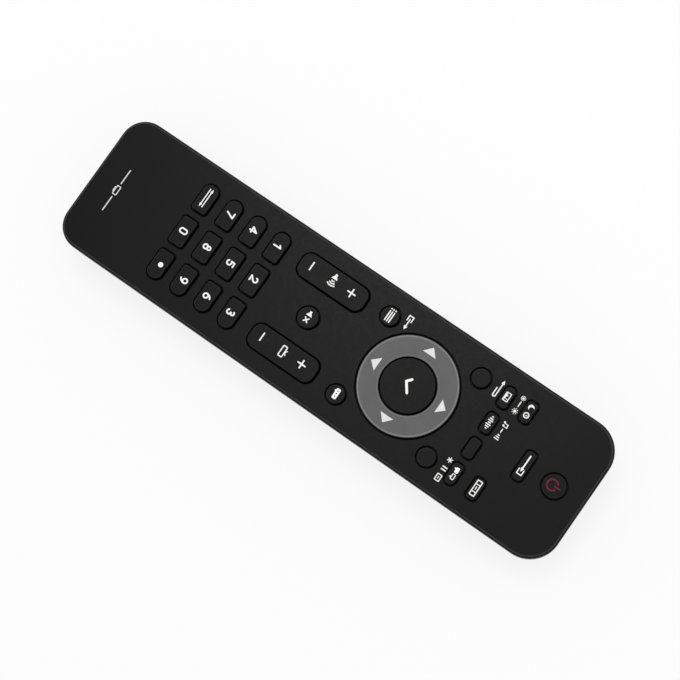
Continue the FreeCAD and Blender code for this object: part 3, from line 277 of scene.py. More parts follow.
def case_material():
    """Spark-eroded satin plastic, almost black."""
    material, shader = new_material("case_plastic", CASE_COLOUR, 0.36, 0.09)
    vary_colour(material, shader, noise(material, 9.0),
                (0.00235, 0.00235, 0.00245), (0.00265, 0.00265, 0.00275))
    erode(material, shader)
    return material


def face_material():
    """The case's plastic with a painted highlight, a lighter line round the rounded rim of the
    face, and painted shade, a darker colour, on the walls of its openings."""
    material, shader = new_material("face_plastic", CASE_COLOUR, 0.36, 0.09)
    # Painted highlight: a lighter band on the rounded rim of the face
    rim_highlight = ((0.0, 0.0025), (0.1, 0.0015), (0.17, 0.042), (0.29, 0.042), (0.37, 0.01),
           (0.6, 0.005), (1.0, 0.0025))
    painted_highlight = grey_ramp(material, rounding_share(material, FACE_HEIGHT, FACE_EDGE), rim_highlight)
    # Painted shade: darker colour on the walls of the openings, below the face
    wall_shade = ((0.0, 0.0025), (0.02, 0.0025), (0.2, 0.0016), (1.0, 0.001))
    painted_shade = grey_ramp(material, rounding_share(material, FACE_HEIGHT, OPENING_EDGE), wall_shade)
    outside = outside_of(material, OPENINGS_HALF_WIDTH, OPENINGS_HALF_LENGTH)
    colour = mixed(material, "MIX", outside, painted_shade, painted_highlight)
    clouded(material, shader, colour, noise(material, 9.0), 0.94, 1.06)
    erode(material, shader)
    return material


def key_material(name, top):
    """Soft-touch keys, smoother than the case. A painted highlight makes their rounded top edges
    lighter, and painted shade makes their sides darker."""
    material, shader = new_material(name, (0.0035, 0.0035, 0.0036), 0.38, 0.085)
    # Painted highlight on the rounded top edges, then painted shade down the sides
    stops = ((0.0, 0.0035), (0.05, 0.016), (0.26, 0.016), (0.41, 0.0018), (1.0, 0.0012))
    colour = grey_ramp(material, rounding_share(material, top, KEY_EDGE), stops)
    clouded(material, shader, colour, noise(material, 5.0), 0.95, 1.05)
    vary_roughness(material, shader, noise(material, 0.8), 0.35, 0.41)
    add_bump(material, shader, noise(material, 0.08, 2.0), 0.003)
    return material


def share_across_ring(material):
    """0 at the hole of the four-way ring, and 1 at its outer edge."""
    low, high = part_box("navigation_ring")
    flat = add_node(material, "ShaderNodeVectorMath", operation="MULTIPLY")
    join(material, object_place(material), flat.inputs[0])
    flat.inputs[1].default_value = (1, 1, 0)
    away = add_node(material, "ShaderNodeVectorMath", operation="DISTANCE")
    join(material, flat.outputs["Vector"], away.inputs[0])
    away.inputs[1].default_value = ((low.x + high.x) / 2, (low.y + high.y) / 2, 0)
    share = add_node(material, "ShaderNodeMapRange")
    share.inputs["From Min"].default_value = RING_HOLE_RADIUS * MM
    share.inputs["From Max"].default_value = RING_RADIUS * MM
    join(material, away.outputs["Value"], share.inputs["Value"])
    return share.outputs["Result"]


def ring_material():
    """Satin grey paint on the four-way ring, with a painted highlight as a lighter line inside each
    of its edges, and painted shade, near black, at the edges themselves. The places of the lines
    are shares of the way from its hole to its outer edge."""
    material, shader = new_material("ring_paint", (0.112, 0.112, 0.113), 0.42, 0.13)
    # Painted shade at the hole and the outer edge, and painted highlights just inside them
    stops = ((0.0, 0.002), (0.018, 0.002), (0.034, 0.112), (0.055, 0.15), (0.09, 0.15),
             (0.115, 0.112), (0.86, 0.112), (0.885, 0.2), (0.925, 0.2), (0.955, 0.001),
             (1.0, 0.001))
    colour = grey_ramp(material, share_across_ring(material), stops)
    clouded(material, shader, colour, noise(material, 6.0), 0.96, 1.04)
    vary_roughness(material, shader, noise(material, 1.0), 0.38, 0.46)
    add_bump(material, shader, noise(material, 0.09, 2.0), 0.0025)
    return material


def window_material():
    """Polished plastic that looks black with a trace of dark red."""
    material, shader = new_material("window_plastic", (0.012, 0.002, 0.004), 0.08, 0.4)
    vary_colour(material, shader, noise(material, 4.0),
                (0.01, 0.0015, 0.003), (0.014, 0.0025, 0.005))
    add_bump(material, shader, noise(material, 3.0), 0.004)
    shader.inputs["Coat Weight"].default_value = 0.15
    shader.inputs["Coat Roughness"].default_value = 0.04
    return material


def mat_material():
    """Dull dark rubber under the keys."""
    material, shader = new_material("mat_rubber", (0.012, 0.012, 0.0125), 0.7, 0.2)
    vary_colour(material, shader, noise(material, 4.0),
                (0.011, 0.011, 0.0115), (0.0135, 0.0135, 0.014))
    add_bump(material, shader, noise(material, 0.3), 0.01)
    return material


def board_material():
    """Green lacquer over a faint pattern of tracks."""
    material, shader = new_material("board_lacquer", (0.02, 0.13, 0.045), 0.3)
    tracks = add_node(material, "ShaderNodeTexBrick")
    tracks.inputs["Scale"].default_value = 1 / (9 * MM)
    tracks.inputs["Mortar Size"].default_value = 0.03
    tracks.inputs["Color1"].default_value = (0.018, 0.12, 0.04, 1)
    tracks.inputs["Color2"].default_value = (0.022, 0.14, 0.048, 1)
    tracks.inputs["Mortar"].default_value = (0.04, 0.2, 0.07, 1)
    join(material, object_place(material), tracks.inputs["Vector"])
    join(material, tracks.outputs["Color"], shader.inputs["Base Color"])
    add_bump(material, shader, tracks.outputs["Fac"], 0.02)
    return material


def plain_material(name, low, high, roughness):
    """A moulded or dipped finish with slight cloudiness."""
    material, shader = new_material(name, low, roughness)
    vary_colour(material, shader, noise(material, 1.5), low, high)
    add_bump(material, shader, noise(material, 0.3), 0.004)
    return material


def metal_material(name, low, high, roughness, stretch):
    """Metal with drawing marks along one direction."""
    material, shader = new_material(name, low, roughness, metallic=1.0)
    marks = noise(material, 0.5, 3.0, stretch)
    vary_colour(material, shader, marks, low, high)
    vary_roughness(material, shader, marks, roughness * 0.8, roughness * 1.3)
    add_bump(material, shader, marks, 0.004)
    return material


def lamp_material():
    """Clear tinted epoxy of the infrared lamp."""
    material, shader = new_material("lamp_epoxy", (0.25, 0.27, 0.42), 0.06)
    vary_colour(material, shader, noise(material, 2.0), (0.22, 0.24, 0.38), (0.28, 0.3, 0.46))
    shader.inputs["Transmission Weight"].default_value = 0.6
    shader.inputs["IOR"].default_value = 1.5
    return material


def cell_material(name, start_mm, direction):
    """A cell's sleeve in two colours between bright steel ends. start_mm is the place of its flat
    end, and direction is 1 or -1 along Y."""
    material, shader = new_material(name, (0.05, 0.12, 0.25), 0.28)
    split = add_node(material, "ShaderNodeSeparateXYZ")
    join(material, object_place(material), split.inputs["Vector"])
    along = add_node(material, "ShaderNodeMapRange")
    start = start_mm * MM
    along.inputs["From Min"].default_value = start
    along.inputs["From Max"].default_value = start + direction * CELL_LENGTH * MM
    join(material, split.outputs["Y"], along.inputs["Value"])
    steel = (0.6, 0.6, 0.58)
    sleeve = (0.03, 0.1, 0.24)
    stripe = (0.7, 0.72, 0.74)
    accent = (0.3, 0.33, 0.36)
    sleeve_start = 0.02
    sleeve_end = 0.962
    bands = ((0.0, steel), (sleeve_start, sleeve), (0.3, stripe), (0.32, sleeve), (0.72, stripe),
             (0.735, accent), (sleeve_end, steel))
    colour = colour_ramp(material, along.outputs["Result"], bands, "CONSTANT")
    join(material, colour, shader.inputs["Base Color"])
    shares = ((0.0, 1.0), (sleeve_start, 0.35), (sleeve_end, 1.0))
    metal = grey_ramp(material, along.outputs["Result"], shares, "CONSTANT")
    join(material, metal, shader.inputs["Metallic"])
    add_bump(material, shader, noise(material, 0.4), 0.003)
    return material


def ink_material(name, low, high, specular=0.3):
    """Screen-printed ink, slightly uneven."""
    material, shader = new_material(name, high, 0.45, specular)
    vary_colour(material, shader, noise(material, 0.6), low, high)
    vary_roughness(material, shader, noise(material, 0.3), 0.4, 0.55)
    add_bump(material, shader, noise(material, 0.12), 0.003)
    return material


# Materials by the slot that each node has in the record, those of single nodes, and the inks
slot_materials = {
    "case": case_material(),
    "key": key_material("key_rubber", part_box("key_5")[1].z / MM),
    "ring": ring_material(),
    "window": window_material(),
    "mat": mat_material(),
    "board": board_material(),
    "chip": plain_material("chip_epoxy", (0.016, 0.016, 0.017), (0.022, 0.022, 0.023), 0.55),
    "resonator": plain_material("resonator_dip", (0.45, 0.16, 0.02), (0.55, 0.2, 0.03), 0.25),
    "capacitor": plain_material("capacitor_sleeve", (0.01, 0.015, 0.06), (0.014, 0.02, 0.075), 0.3),
    "lamp": lamp_material(),
    "contact": metal_material("contact_nickel", (0.58, 0.58, 0.56), (0.7, 0.7, 0.67), 0.28,
                              (1, 6, 1)),
    "spring": metal_material("spring_nickel", (0.6, 0.6, 0.58), (0.74, 0.74, 0.72), 0.24,
                             (1, 1, 1)),
    "screw": metal_material("screw_black_zinc", (0.09, 0.09, 0.095), (0.14, 0.14, 0.145), 0.38,
                            (1, 1, 5)),
}
special_materials = {
    "top_housing": face_material(),
    "ok_key": key_material("ok_key_rubber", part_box("ok_key")[1].z / MM),
}
white_ink = ink_material("white_ink", (0.88, 0.88, 0.87), (0.95, 0.95, 0.94))
arrow_ink = ink_material("arrow_ink", (0.7, 0.7, 0.7), (0.77, 0.77, 0.77))
grey_ink = ink_material("grey_ink", (0.62, 0.62, 0.62), (0.7, 0.7, 0.7))
red_ink = ink_material("red_ink", (0.142, 0.0125, 0.03), (0.162, 0.0145, 0.034), 0.1)


def give_material(item, material):
    item.data.materials.clear()
    item.data.materials.append(material)


def finish_cad_nodes():
    slots = {part["node"]: part["material_slot"] for part in frame["record"]["subparts"]}
    for name, item in frame["nodes"].items():
        if slots[name] == "cell":
            low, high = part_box(name)
            if name == "battery_1":
                give_material(item, cell_material("cell_sleeve_1", low.y / MM, 1))
            else:
                give_material(item, cell_material("cell_sleeve_2", high.y / MM, -1))
        else:
            give_material(item, special_materials.get(name, slot_materials[slots[name]]))


finish_cad_nodes()


# Flat shapes, as functions that give the signed distance to their edge, in millimetres

def line(x0, y0, x1, y1, width):
    """A stroke with round ends."""
    def distance(x, y):
        dx = x1 - x0
        dy = y1 - y0
        share = np.clip(((x - x0) * dx + (y - y0) * dy) / (dx * dx + dy * dy), 0, 1)
        return np.hypot(x - x0 - share * dx, y - y0 - share * dy) - width / 2
    return distance


def path(points, width):
    """A stroke through several points."""
    strokes = []
    for (x0, y0), (x1, y1) in zip(points, points[1:]):
        strokes.append(line(x0, y0, x1, y1, width))
    return union(*strokes)


def arc(cx, cy, radius, start, end, width):
    """A round stroke from one angle to another, anticlockwise, in degrees."""
    middle = math.radians((start + end) / 2)
    half = math.radians((end - start) / 2)

    def distance(x, y):
        turn = (np.arctan2(y - cy, x - cx) - middle + math.pi) % (2 * math.pi) - math.pi
        to_circle = np.abs(np.hypot(x - cx, y - cy) - radius)
        to_ends = []
        for angle in (middle - half, middle + half):
            end_x = radius * math.cos(angle)
            end_y = radius * math.sin(angle)
            to_ends.append(np.hypot(x - cx - end_x, y - cy - end_y))
        return np.where(np.abs(turn) <= half, to_circle, np.minimum(*to_ends)) - width / 2
    return distance


def disc(cx, cy, radius):
    return lambda x, y: np.hypot(x - cx, y - cy) - radius


def block(x0, x1, y0, y1, corner=0.0):
    """A rectangle with rounded corners."""
    def distance(x, y):
        qx = np.abs(x - (x0 + x1) / 2) - (x1 - x0) / 2 + corner
        qy = np.abs(y - (y0 + y1) / 2) - (y1 - y0) / 2 + corner
        outside = np.hypot(np.maximum(qx, 0), np.maximum(qy, 0))
        return outside + np.minimum(np.maximum(qx, qy), 0) - corner
    return distance


def polygon(points):
    """A convex shape, with its corners listed anticlockwise."""
    def distance(x, y):
        sides = []
        for (x0, y0), (x1, y1) in zip(points, points[1:] + points[:1]):
            length = math.hypot(x1 - x0, y1 - y0)
            sides.append(((y1 - y0) * (x - x0) - (x1 - x0) * (y - y0)) / length)
        return np.maximum.reduce(sides)
    return distance


def outline(shape, width):
    """The edge of a shape, drawn as a stroke."""
    return lambda x, y: np.abs(shape(x, y)) - width / 2


def union(*shapes):
    return lambda x, y: np.minimum.reduce([shape(x, y) for shape in shapes])


def cut(shape, *holes):
    return lambda x, y: np.maximum(shape(x, y), -union(*holes)(x, y))


def turned(shape, degrees):
    cosine = math.cos(math.radians(degrees))
    sine = math.sin(math.radians(degrees))
    return lambda x, y: shape(cosine * x + sine * y, cosine * y - sine * x)


def moved(shape, dx, dy):
    return lambda x, y: shape(x - dx, y - dy)


def arrow_head(tip_x, tip_y, length, half_width, direction=1):
    """A solid arrow head that points along X, to the right or the left."""
    base_x = tip_x - direction * length
    corners = [(base_x, tip_y - half_width), (tip_x, tip_y), (base_x, tip_y + half_width)]
    if direction < 0:
        corners.reverse()
    return polygon(corners)


# Turning a flat shape into a thin solid

def edge_loops(shape, half_width, half_height):
    """The closed outlines of a shape, found cell by cell on a fine grid."""
    columns = int(math.ceil(2 * half_width / OUTLINE_STEP)) + 1
    rows = int(math.ceil(2 * half_height / OUTLINE_STEP)) + 1
    xs = np.linspace(-half_width, half_width, columns)
    ys = np.linspace(-half_height, half_height, rows)
    field = shape(*np.meshgrid(xs, ys))
    field = np.where(np.abs(field) < LEAST_DISTANCE, LEAST_DISTANCE, field)
    inside = field < 0
    crossings = {}

    def crossing(a, b):
        """Finds where the outline crosses between two points of the grid, and names that place."""
        key = (a, b) if a < b else (b, a)
        if key not in crossings:
            share = field[a] / (field[a] - field[b])
            crossings[key] = (
                xs[a[1]] + share * (xs[b[1]] - xs[a[1]]),
                ys[a[0]] + share * (ys[b[0]] - ys[a[0]]),
            )
        return key

    links = {}
    within = inside[:-1, :-1].astype(int) + inside[:-1, 1:] + inside[1:, :-1] + inside[1:, 1:]
    for row, column in zip(*np.nonzero((within > 0) & (within < 4))):
        row = int(row)
        column = int(column)
        corners = [(row, column), (row, column + 1), (row + 1, column + 1), (row + 1, column)]
        entries = []
        exits = []
        for index, corner in enumerate(corners):
            following = corners[(index + 1) % 4]
            if inside[corner] and not inside[following]:
                exits.append(crossing(corner, following))
            if inside[following] and not inside[corner]:
                entries.append(crossing(corner, following))
        for start, end in zip(exits, entries):
            links[start] = end
    loops = []
    while links:
        start, here = links.popitem()
        loop = [start]
        while here != start:
            loop.append(here)
            here = links.pop(here)
        loops.append([crossings[key] for key in loop])
    return loops


def straightened(loop):
    """The loop without the points that lie on straight runs between the others. It starts at the
    point farthest from the middle, because that one is a corner and never on a straight run."""
    points = np.array(loop)
    farthest = np.argmax(np.hypot(*(points - points.mean(axis=0)).T))
    points = np.roll(points, -farthest, axis=0)
    kept = [0]
    for index in range(2, len(points) + 1):
        last = kept[-1]
        chord = points[index % len(points)] - points[last]
        between = points[last + 1:index] - points[last]
        across = np.abs(between[:, 0] * chord[1] - between[:, 1] * chord[0])
        if across.max() > STRAIGHT_TOLERANCE * max(math.hypot(*chord), STRAIGHT_TOLERANCE):
            kept.append(index - 1)
    return points[kept]


def area_inside(loop):
    """Above zero for an outer edge, and below zero for the edge of a hole."""
    x, y = loop.T
    return np.sum(x * np.roll(y, -1) - np.roll(x, -1) * y) / 2


def surrounds(loop, point):
    """Whether a point is inside a loop: the loop then passes an odd number of times beside it."""
    x0, y0 = loop.T
    x1, y1 = np.roll(loop, -1, axis=0).T
    passes = (y0 > point[1]) != (y1 > point[1])
    rise = np.where(passes, y1 - y0, 1)
    crossing_x = x0 + (point[1] - y0) * (x1 - x0) / rise
    return np.count_nonzero(passes & (crossing_x > point[0])) % 2 == 1


def islands(loops):
    """Sorts loops into separate shapes: each an outer edge, then the edges of its holes."""
    groups = [[loop] for loop in loops if area_inside(loop) > 0]
    for hole in loops:
        if area_inside(hole) > 0:
            continue
        around = [group for group in groups if surrounds(group[0], hole[0])]
        around.sort(key=lambda group: area_inside(group[0]))
        around[0].append(hole)
    return groups


def flat_solid(name, loops, z0, z1):
    """A mesh that fills the loops, holes left open, between two heights."""
    vertices = []
    faces = []
    for group in islands(loops):
        corners = [[Vector((x, y, 0)) for x, y in loop] for loop in group]
        flat = [corner for loop in corners for corner in loop]
        count = len(flat)
        first = len(vertices)
        for z in (z0, z1):
            vertices += [(p.x * MM, p.y * MM, z * MM) for p in flat]
        for triangle in tessellate_polygon(corners):
            faces.append(tuple(first + index for index in triangle))
            faces.append(tuple(first + count + index for index in reversed(triangle)))
        for loop in corners:
            for index in range(len(loop)):
                here = first + index
                following = first + (index + 1) % len(loop)
                faces.append((here, following, following + count, here + count))
            first += len(loop)
    mesh = bpy.data.meshes.new(name)
    mesh.from_pydata(vertices, [], faces)
    shell = bmesh.new()
    shell.from_mesh(mesh)
    bmesh.ops.dissolve_degenerate(shell, dist=WELD_DISTANCE * MM, edges=shell.edges)
    bmesh.ops.recalc_face_normals(shell, faces=shell.faces)
    shell.to_mesh(mesh)
    shell.free()
    return mesh


def print_mark(name, shape, reach, place, surface, body, ink):
    """Prints a shape on a level surface. The shape lies within reach each way of its place, and
    surface is the height that it is printed on."""
    loops = [straightened(loop) for loop in edge_loops(shape, *reach)]
    mesh = flat_solid(name, loops, -INK_DEPTH, INK_HEIGHT)
    mark = bpy.data.objects.new(name, mesh)
    bpy.context.scene.collection.objects.link(mark)
    mark.location = (place[0] * MM, place[1] * MM, surface * MM)
    give_material(mark, ink)
    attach(mark, body)


def middle_and_top(node):
    """The middle of a node's box, and its highest point, in millimetres."""
    low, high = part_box(node)
    return (low.x + high.x) / 2 / MM, (low.y + high.y) / 2 / MM, high.z / MM


def print_on_key(name, shape, reach, key, dx=PRINT_SHIFT, dy=0.0, ink=white_ink):
    x, y, top = middle_and_top(key)
    print_mark(name, shape, reach, (x + dx, y + dy), top, key, ink)


def print_on_face(name, shape, reach, place, ink=white_ink):
    print_mark(name, shape, reach, place, FACE_HEIGHT, "housing", ink)


def digit_shapes():
    """Numbers in round-ended strokes, in a box of about 2.3 by 3.4."""
    w = DIGIT_STROKE
    six = union(outline(disc(0, -0.52, 0.81), w), arc(1.15, -0.47, 1.96, 115, 181, w))
    return {
        0: outline(block(-0.8, 0.8, -1.36, 1.36, 0.8), w),
        1: path([(-0.68, 0.72), (0.1, 1.35), (0.1, -1.35)], w),
        2: union(arc(0, 0.54, 0.81, -30, 168, w), path([(0.702, 0.135), (-0.83, -1.34)], w),
                 line(-0.83, -1.34, 0.86, -1.34, w)),
        3: union(arc(-0.1, 0.67, 0.66, -92, 150, w), arc(-0.08, -0.57, 0.78, -152, 92, w)),
        4: union(path([(0.35, 1.3), (-0.95, -0.6), (0.98, -0.6)], w),
                 line(0.35, 1.3, 0.35, -1.3, w)),
        5: union(path([(0.78, 1.33), (-0.64, 1.33), (-0.76, 0.1)], w),
                 arc(-0.06, -0.5, 0.82, -148, 140, w)),
        6: six,
        7: path([(-0.86, 1.33), (0.86, 1.33), (-0.32, -1.35)], w),
        8: union(outline(disc(0, 0.72, 0.62), w), outline(disc(0, -0.57, 0.78), w)),
        9: turned(six, 180),
    }


def minus_sign():
    half = SIGN_LENGTH / 2
    thin = SIGN_STROKE / 2
    return block(-half, half, -thin, thin, SIGN_CORNER)


def plus_sign():
    half = SIGN_LENGTH / 2
    thin = SIGN_STROKE / 2
    return union(minus_sign(), block(-thin, thin, -half, half, SIGN_CORNER))


def power_sign():
    """An open circle with a bar through the gap at its top."""
    circle = arc(0, -0.35, 1.83, 90 + POWER_GAP, 450 - POWER_GAP, POWER_STROKE)
    return union(circle, line(0, 0.5, 0, 2.3, POWER_STROKE))


def speaker(scale):
    """A small loudspeaker whose cone opens to the right, and ends at the middle."""
    box_part = block(-2.5 * scale, -1.5 * scale, -0.5 * scale, 0.5 * scale, 0.12 * scale)
    cone = polygon([(-1.7 * scale, -0.5 * scale), (-0.35 * scale, -1.4 * scale),
                    (-0.35 * scale, 1.4 * scale), (-1.7 * scale, 0.5 * scale)])
    return union(box_part, cone)


def volume_icon():
    waves = [arc(-0.3, 0, radius, -34, 34, 0.4) for radius in (0.85, 1.65, 2.45)]
    return moved(union(speaker(0.85), *waves), -0.35, 0)


def mute_icon():
    cross = union(line(0.55, -0.7, 1.95, 0.7, 0.42), line(0.55, 0.7, 1.95, -0.7, 0.42))
    return union(speaker(0.82), cross)


def channel_icon():
    """A television set with two aerials."""
    screen = outline(block(-1.9, 1.9, -1.0, 0.5, 0.3), 0.4)
    aerials = union(line(0, 0.6, -0.8, 1.2, 0.32), line(0, 0.6, 0.8, 1.2, 0.32))
    return union(screen, aerials)


def select_icon():
    """A tick."""
    return path([(-2.25, 0.1), (-0.8, -1.15), (2.35, 1.2)], 0.85)


def list_icon():
    rows = []
    for y in (0.82, 0, -0.82):
        rows.append(disc(-2.15, y, 0.26))
        rows.append(line(-1.35, y, 2.2, y, 0.42))
    return union(*rows)


def bubble_icon():
    """A speech bubble with three dots."""
    tail = polygon([(-1.0, -0.5), (-1.05, -1.1), (-0.1, -0.5)])
    bubble = union(block(-1.9, 1.9, -0.6, 1.0, 0.5), tail)
    dots = [disc(x, 0.2, 0.24) for x in (-0.95, 0, 0.95)]
    return cut(bubble, *dots)


def input_icon():
    """An arrow into a box that is open at the left."""
    box_part = path([(1.7, 0.88), (3.45, 0.88), (3.45, -0.88), (1.7, -0.88)], 0.36)
    return union(box_part, line(-3.45, 0, 1.0, 0, 0.5), arrow_head(2.55, 0, 1.35, 0.6))


def sleep_icon():
    """A crescent moon and a clock."""
    moon = cut(disc(-1.45, 0, 1.05), disc(-0.95, 0.38, 0.9))
    hands = path([(1.45, 0.45), (1.45, 0), (1.75, -0.15)], 0.24)
    return union(moon, outline(disc(1.45, 0, 0.85), 0.36), hands)


def format_icon():
    """A narrow picture inside a wide one."""
    wide = outline(block(-2.65, 2.65, -0.85, 0.85, 0.2), 0.36)
    return union(wide, line(-1.3, -0.7, -1.3, 0.7, 0.32), line(1.3, -0.7, 1.3, 0.7, 0.32),
                 line(-0.45, 0, 0.45, 0, 0.32))


def picture_icon():
    """A landscape in a frame."""
    border = outline(block(-1.45, 1.45, -0.85, 0.85, 0.15), 0.3)
    hills = union(polygon([(-1.2, -0.7), (0.35, -0.7), (-0.45, 0.25)]),
                  polygon([(-0.1, -0.7), (1.2, -0.7), (0.6, -0.05)]))
    return union(border, hills, disc(0.7, 0.35, 0.2))


def level_bars(heights, pitch, width):
    """Upright strokes in a row, with their middles on one line."""
    bars = []
    first = -(len(heights) - 1) / 2 * pitch
    for index, height in enumerate(heights):
        x = first + index * pitch
        bars.append(line(x, -height / 2, x, height / 2, width))
    return union(*bars)


def sound_icon():
    return level_bars((0.3, 1.0, 1.5, 0.7, 1.5, 1.0, 0.3), 0.72, 0.38)


def two_voices_icon():
    """Two speech bubbles, one filled and one open."""
    filled = block(-2.2, -0.2, -0.35, 0.95, 0.35)
    filled_tail = polygon([(-1.8, -0.3), (-1.7, -0.95), (-1.0, -0.3)])
    open_one = outline(block(0.3, 2.15, -0.2, 0.8, 0.3), 0.3)
    open_tail = polygon([(1.0, -0.25), (1.75, -0.95), (1.75, -0.25)])
    return union(filled, filled_tail, open_one, open_tail)


def swap_icon():
    """An arrow to the left above an arrow to the right."""
    upper = union(line(-2.6, 0.5, 3.3, 0.5, 0.38), arrow_head(-3.7, 0.5, 1.3, 0.48, -1))
    return union(upper, turned(upper, 180))


def return_icon():
    """An arrow to the left whose tail turns back below it."""
    tail = union(line(-2.3, 0.35, 2.3, 0.35, 0.4), arc(2.3, -0.15, 0.5, -90, 90, 0.4),
                 line(2.3, -0.65, -0.2, -0.65, 0.4))
    return union(tail, arrow_head(-3.45, 0.35, 1.3, 0.62, -1))


def leave_icon():
    """An arrow out of a doorway."""
    door = path([(-0.6, 0.8), (-2.4, 0.8), (-2.4, -0.8), (-0.6, -0.8)], 0.38)
    return union(door, line(-1.3, 0, 1.5, 0, 0.4), arrow_head(2.6, 0, 1.3, 0.66))


def still_icon():
    """A snowflake, a pause sign and a picture."""
    arms = []
    for angle in (0, 60, 120):
        x = 0.85 * math.cos(math.radians(angle))
        y = 0.85 * math.sin(math.radians(angle))
        arms.append(line(-3.4 - x, -y, -3.4 + x, y, 0.3))
    pause = union(line(-0.55, -0.75, -0.55, 0.75, 0.42), line(0.45, -0.75, 0.45, 0.75, 0.42))
    picture = outline(block(2.3, 4.5, -0.8, 0.8, 0.15), 0.34)
    return union(*arms, pause, picture, line(3.1, 0, 3.7, 0, 0.34))


def brightness_icon():
    """A small sun, a bar and a large sun."""
    rays = []
    for angle in range(0, 360, 45):
        x = math.cos(math.radians(angle))
        y = math.sin(math.radians(angle))
        rays.append(line(2.3 + 0.8 * x, 0.8 * y, 2.3 + 0.92 * x, 0.92 * y, 0.26))
    small = union(disc(-2.7, 0, 0.4), outline(disc(-2.7, 0, 0.72), 0.16))
    return union(disc(2.3, 0, 0.5), *rays, small, line(-1.3, 0, 0.5, 0, 0.34))


def tone_icon():
    """A pair of notes, a bar and level bars."""
    heads = union(disc(-3.0, -0.62, 0.34), disc(-1.9, -0.5, 0.34))
    stems = union(line(-2.75, -0.6, -2.75, 0.72, 0.24), line(-1.65, -0.5, -1.65, 0.86, 0.24))
    beam = line(-2.75, 0.74, -1.65, 0.88, 0.34)
    levels = moved(level_bars((0.5, 1.0, 1.5), 0.75, 0.36), 2.3, 0)
    return union(heads, stems, beam, line(-0.7, 0, 0.5, 0, 0.34), levels)


def screen_icon():
    """A small screen on its foot between two thin lines."""
    screen = outline(block(-1.6, 1.6, -0.55, 0.85, 0.2), 0.36)
    return union(screen, line(-0.8, -0.95, 0.8, -0.95, 0.34), line(-8.2, 0.1, -2.7, 0.1, 0.42),
                 line(2.7, 0.1, 8.2, 0.1, 0.42))


def print_number_keys():
    reach = (1.7, 2.0)
    for number, shape in digit_shapes().items():
        row = (number - 1) // 3 if number else 3
        print_on_key(f"digit_{number}", shape, reach, f"key_{number}", dy=DIGIT_ROW_SHIFTS[row])
    print_on_key("channel_dot", disc(0, 0, 0.9), (1.1, 1.1), "dot_key", *DOT_PLACE)
    print_on_key("previous_channel_sign", swap_icon(), (4.0, 1.2), "previous_channel_key")


def print_function_keys():
    signs = (
        ("source_sign", input_icon(), "source_key"),
        ("sleep_sign", sleep_icon(), "sleep_key"),
        ("format_sign", format_icon(), "format_key"),
        ("picture_sign", picture_icon(), "picture_key"),
        ("sound_sign", sound_icon(), "sound_key"),
        ("second_audio_sign", two_voices_icon(), "second_audio_key"),
        ("menu_sign", list_icon(), "menu_key"),
        ("info_sign", bubble_icon(), "info_key"),
        ("mute_sign", mute_icon(), "mute_key"),
        ("select_sign", select_icon(), "ok_key"),
    )
    for name, shape, key in signs:
        print_on_key(name, shape, (4.0, 1.8), key)
    print_on_key("power_sign", power_sign(), (2.8, 2.9), "power_key", *POWER_PLACE, ink=red_ink)


def print_rockers():
    for node, icon in (("volume_rocker", volume_icon()), ("channel_rocker", channel_icon())):
        start = node.split("_")[0]
        print_on_key(start + "_plus", plus_sign(), (2.2, 2.2), node, *PLUS_PLACE)
        print_on_key(start + "_minus", minus_sign(), (2.2, 1.0), node, *MINUS_PLACE)
        print_on_key(start + "_sign", icon, (3.8, 2.3), node, *ROCKER_SIGN_PLACE)


def print_ring_arrows():
    """One arrow at each quarter of the ring, pointing outwards."""
    corners = [(-ARROW_HALF_WIDTH, ARROW_BASE), (ARROW_HALF_WIDTH, ARROW_BASE), (0, ARROW_TIP)]
    arrow = polygon(corners)
    arrows = union(*[turned(arrow, quarter * 90) for quarter in range(4)])
    reach = ARROW_TIP + ARROW_MARGIN
    x, y, top = middle_and_top("navigation_ring")
    place = (x + ARROWS_PLACE[0], y + ARROWS_PLACE[1])
    print_mark("ring_arrows", arrows, (reach, reach), place, top, "navigation_ring", arrow_ink)


def print_face():
    """Signs above the keys that they belong to, and one near the battery end. Each row ends with
    the key, and how far above its middle the sign is."""
    signs = (
        ("automatic_picture_sign", brightness_icon(), "picture_key", 4.6),
        ("automatic_sound_sign", tone_icon(), "sound_key", 4.7),
        ("back_sign", return_icon(), "back_key", 6.6),
        ("freeze_sign", still_icon(), "freeze_key", 6.85),
    )
    for name, shape, key, above in signs:
        x, y = middle_and_top(key)[:2]
        print_on_face(name, shape, (5.0, 1.3), (x + PRINT_SHIFT, y + above))
    x, y = middle_and_top("menu_key")[:2]
    print_on_face("exit_sign", leave_icon(), (3.0, 1.2), (x + EXIT_PLACE[0], y + EXIT_PLACE[1]))
    x, from_end = SCREEN_PLACE
    end = cad_box[0].y / MM
    print_on_face("screen_sign", screen_icon(), (8.6, 1.4), (x, end + from_end), grey_ink)


print_number_keys()
print_function_keys()
print_rockers()
print_ring_arrows()
print_face()


def seen_directly(owner):
    """1 for what the camera, a reflection or a clear piece shows, and 0 for light on its way."""
    rays = add_node(owner, "ShaderNodeLightPath")
    share = rays.outputs["Is Camera Ray"]
    for kind in ("Is Glossy Ray", "Is Transmission Ray"):
        either = add_node(owner, "ShaderNodeMath", operation="MAXIMUM")
        join(owner, share, either.inputs[0])
        join(owner, rays.outputs[kind], either.inputs[1])
        share = either.outputs[0]
    return share


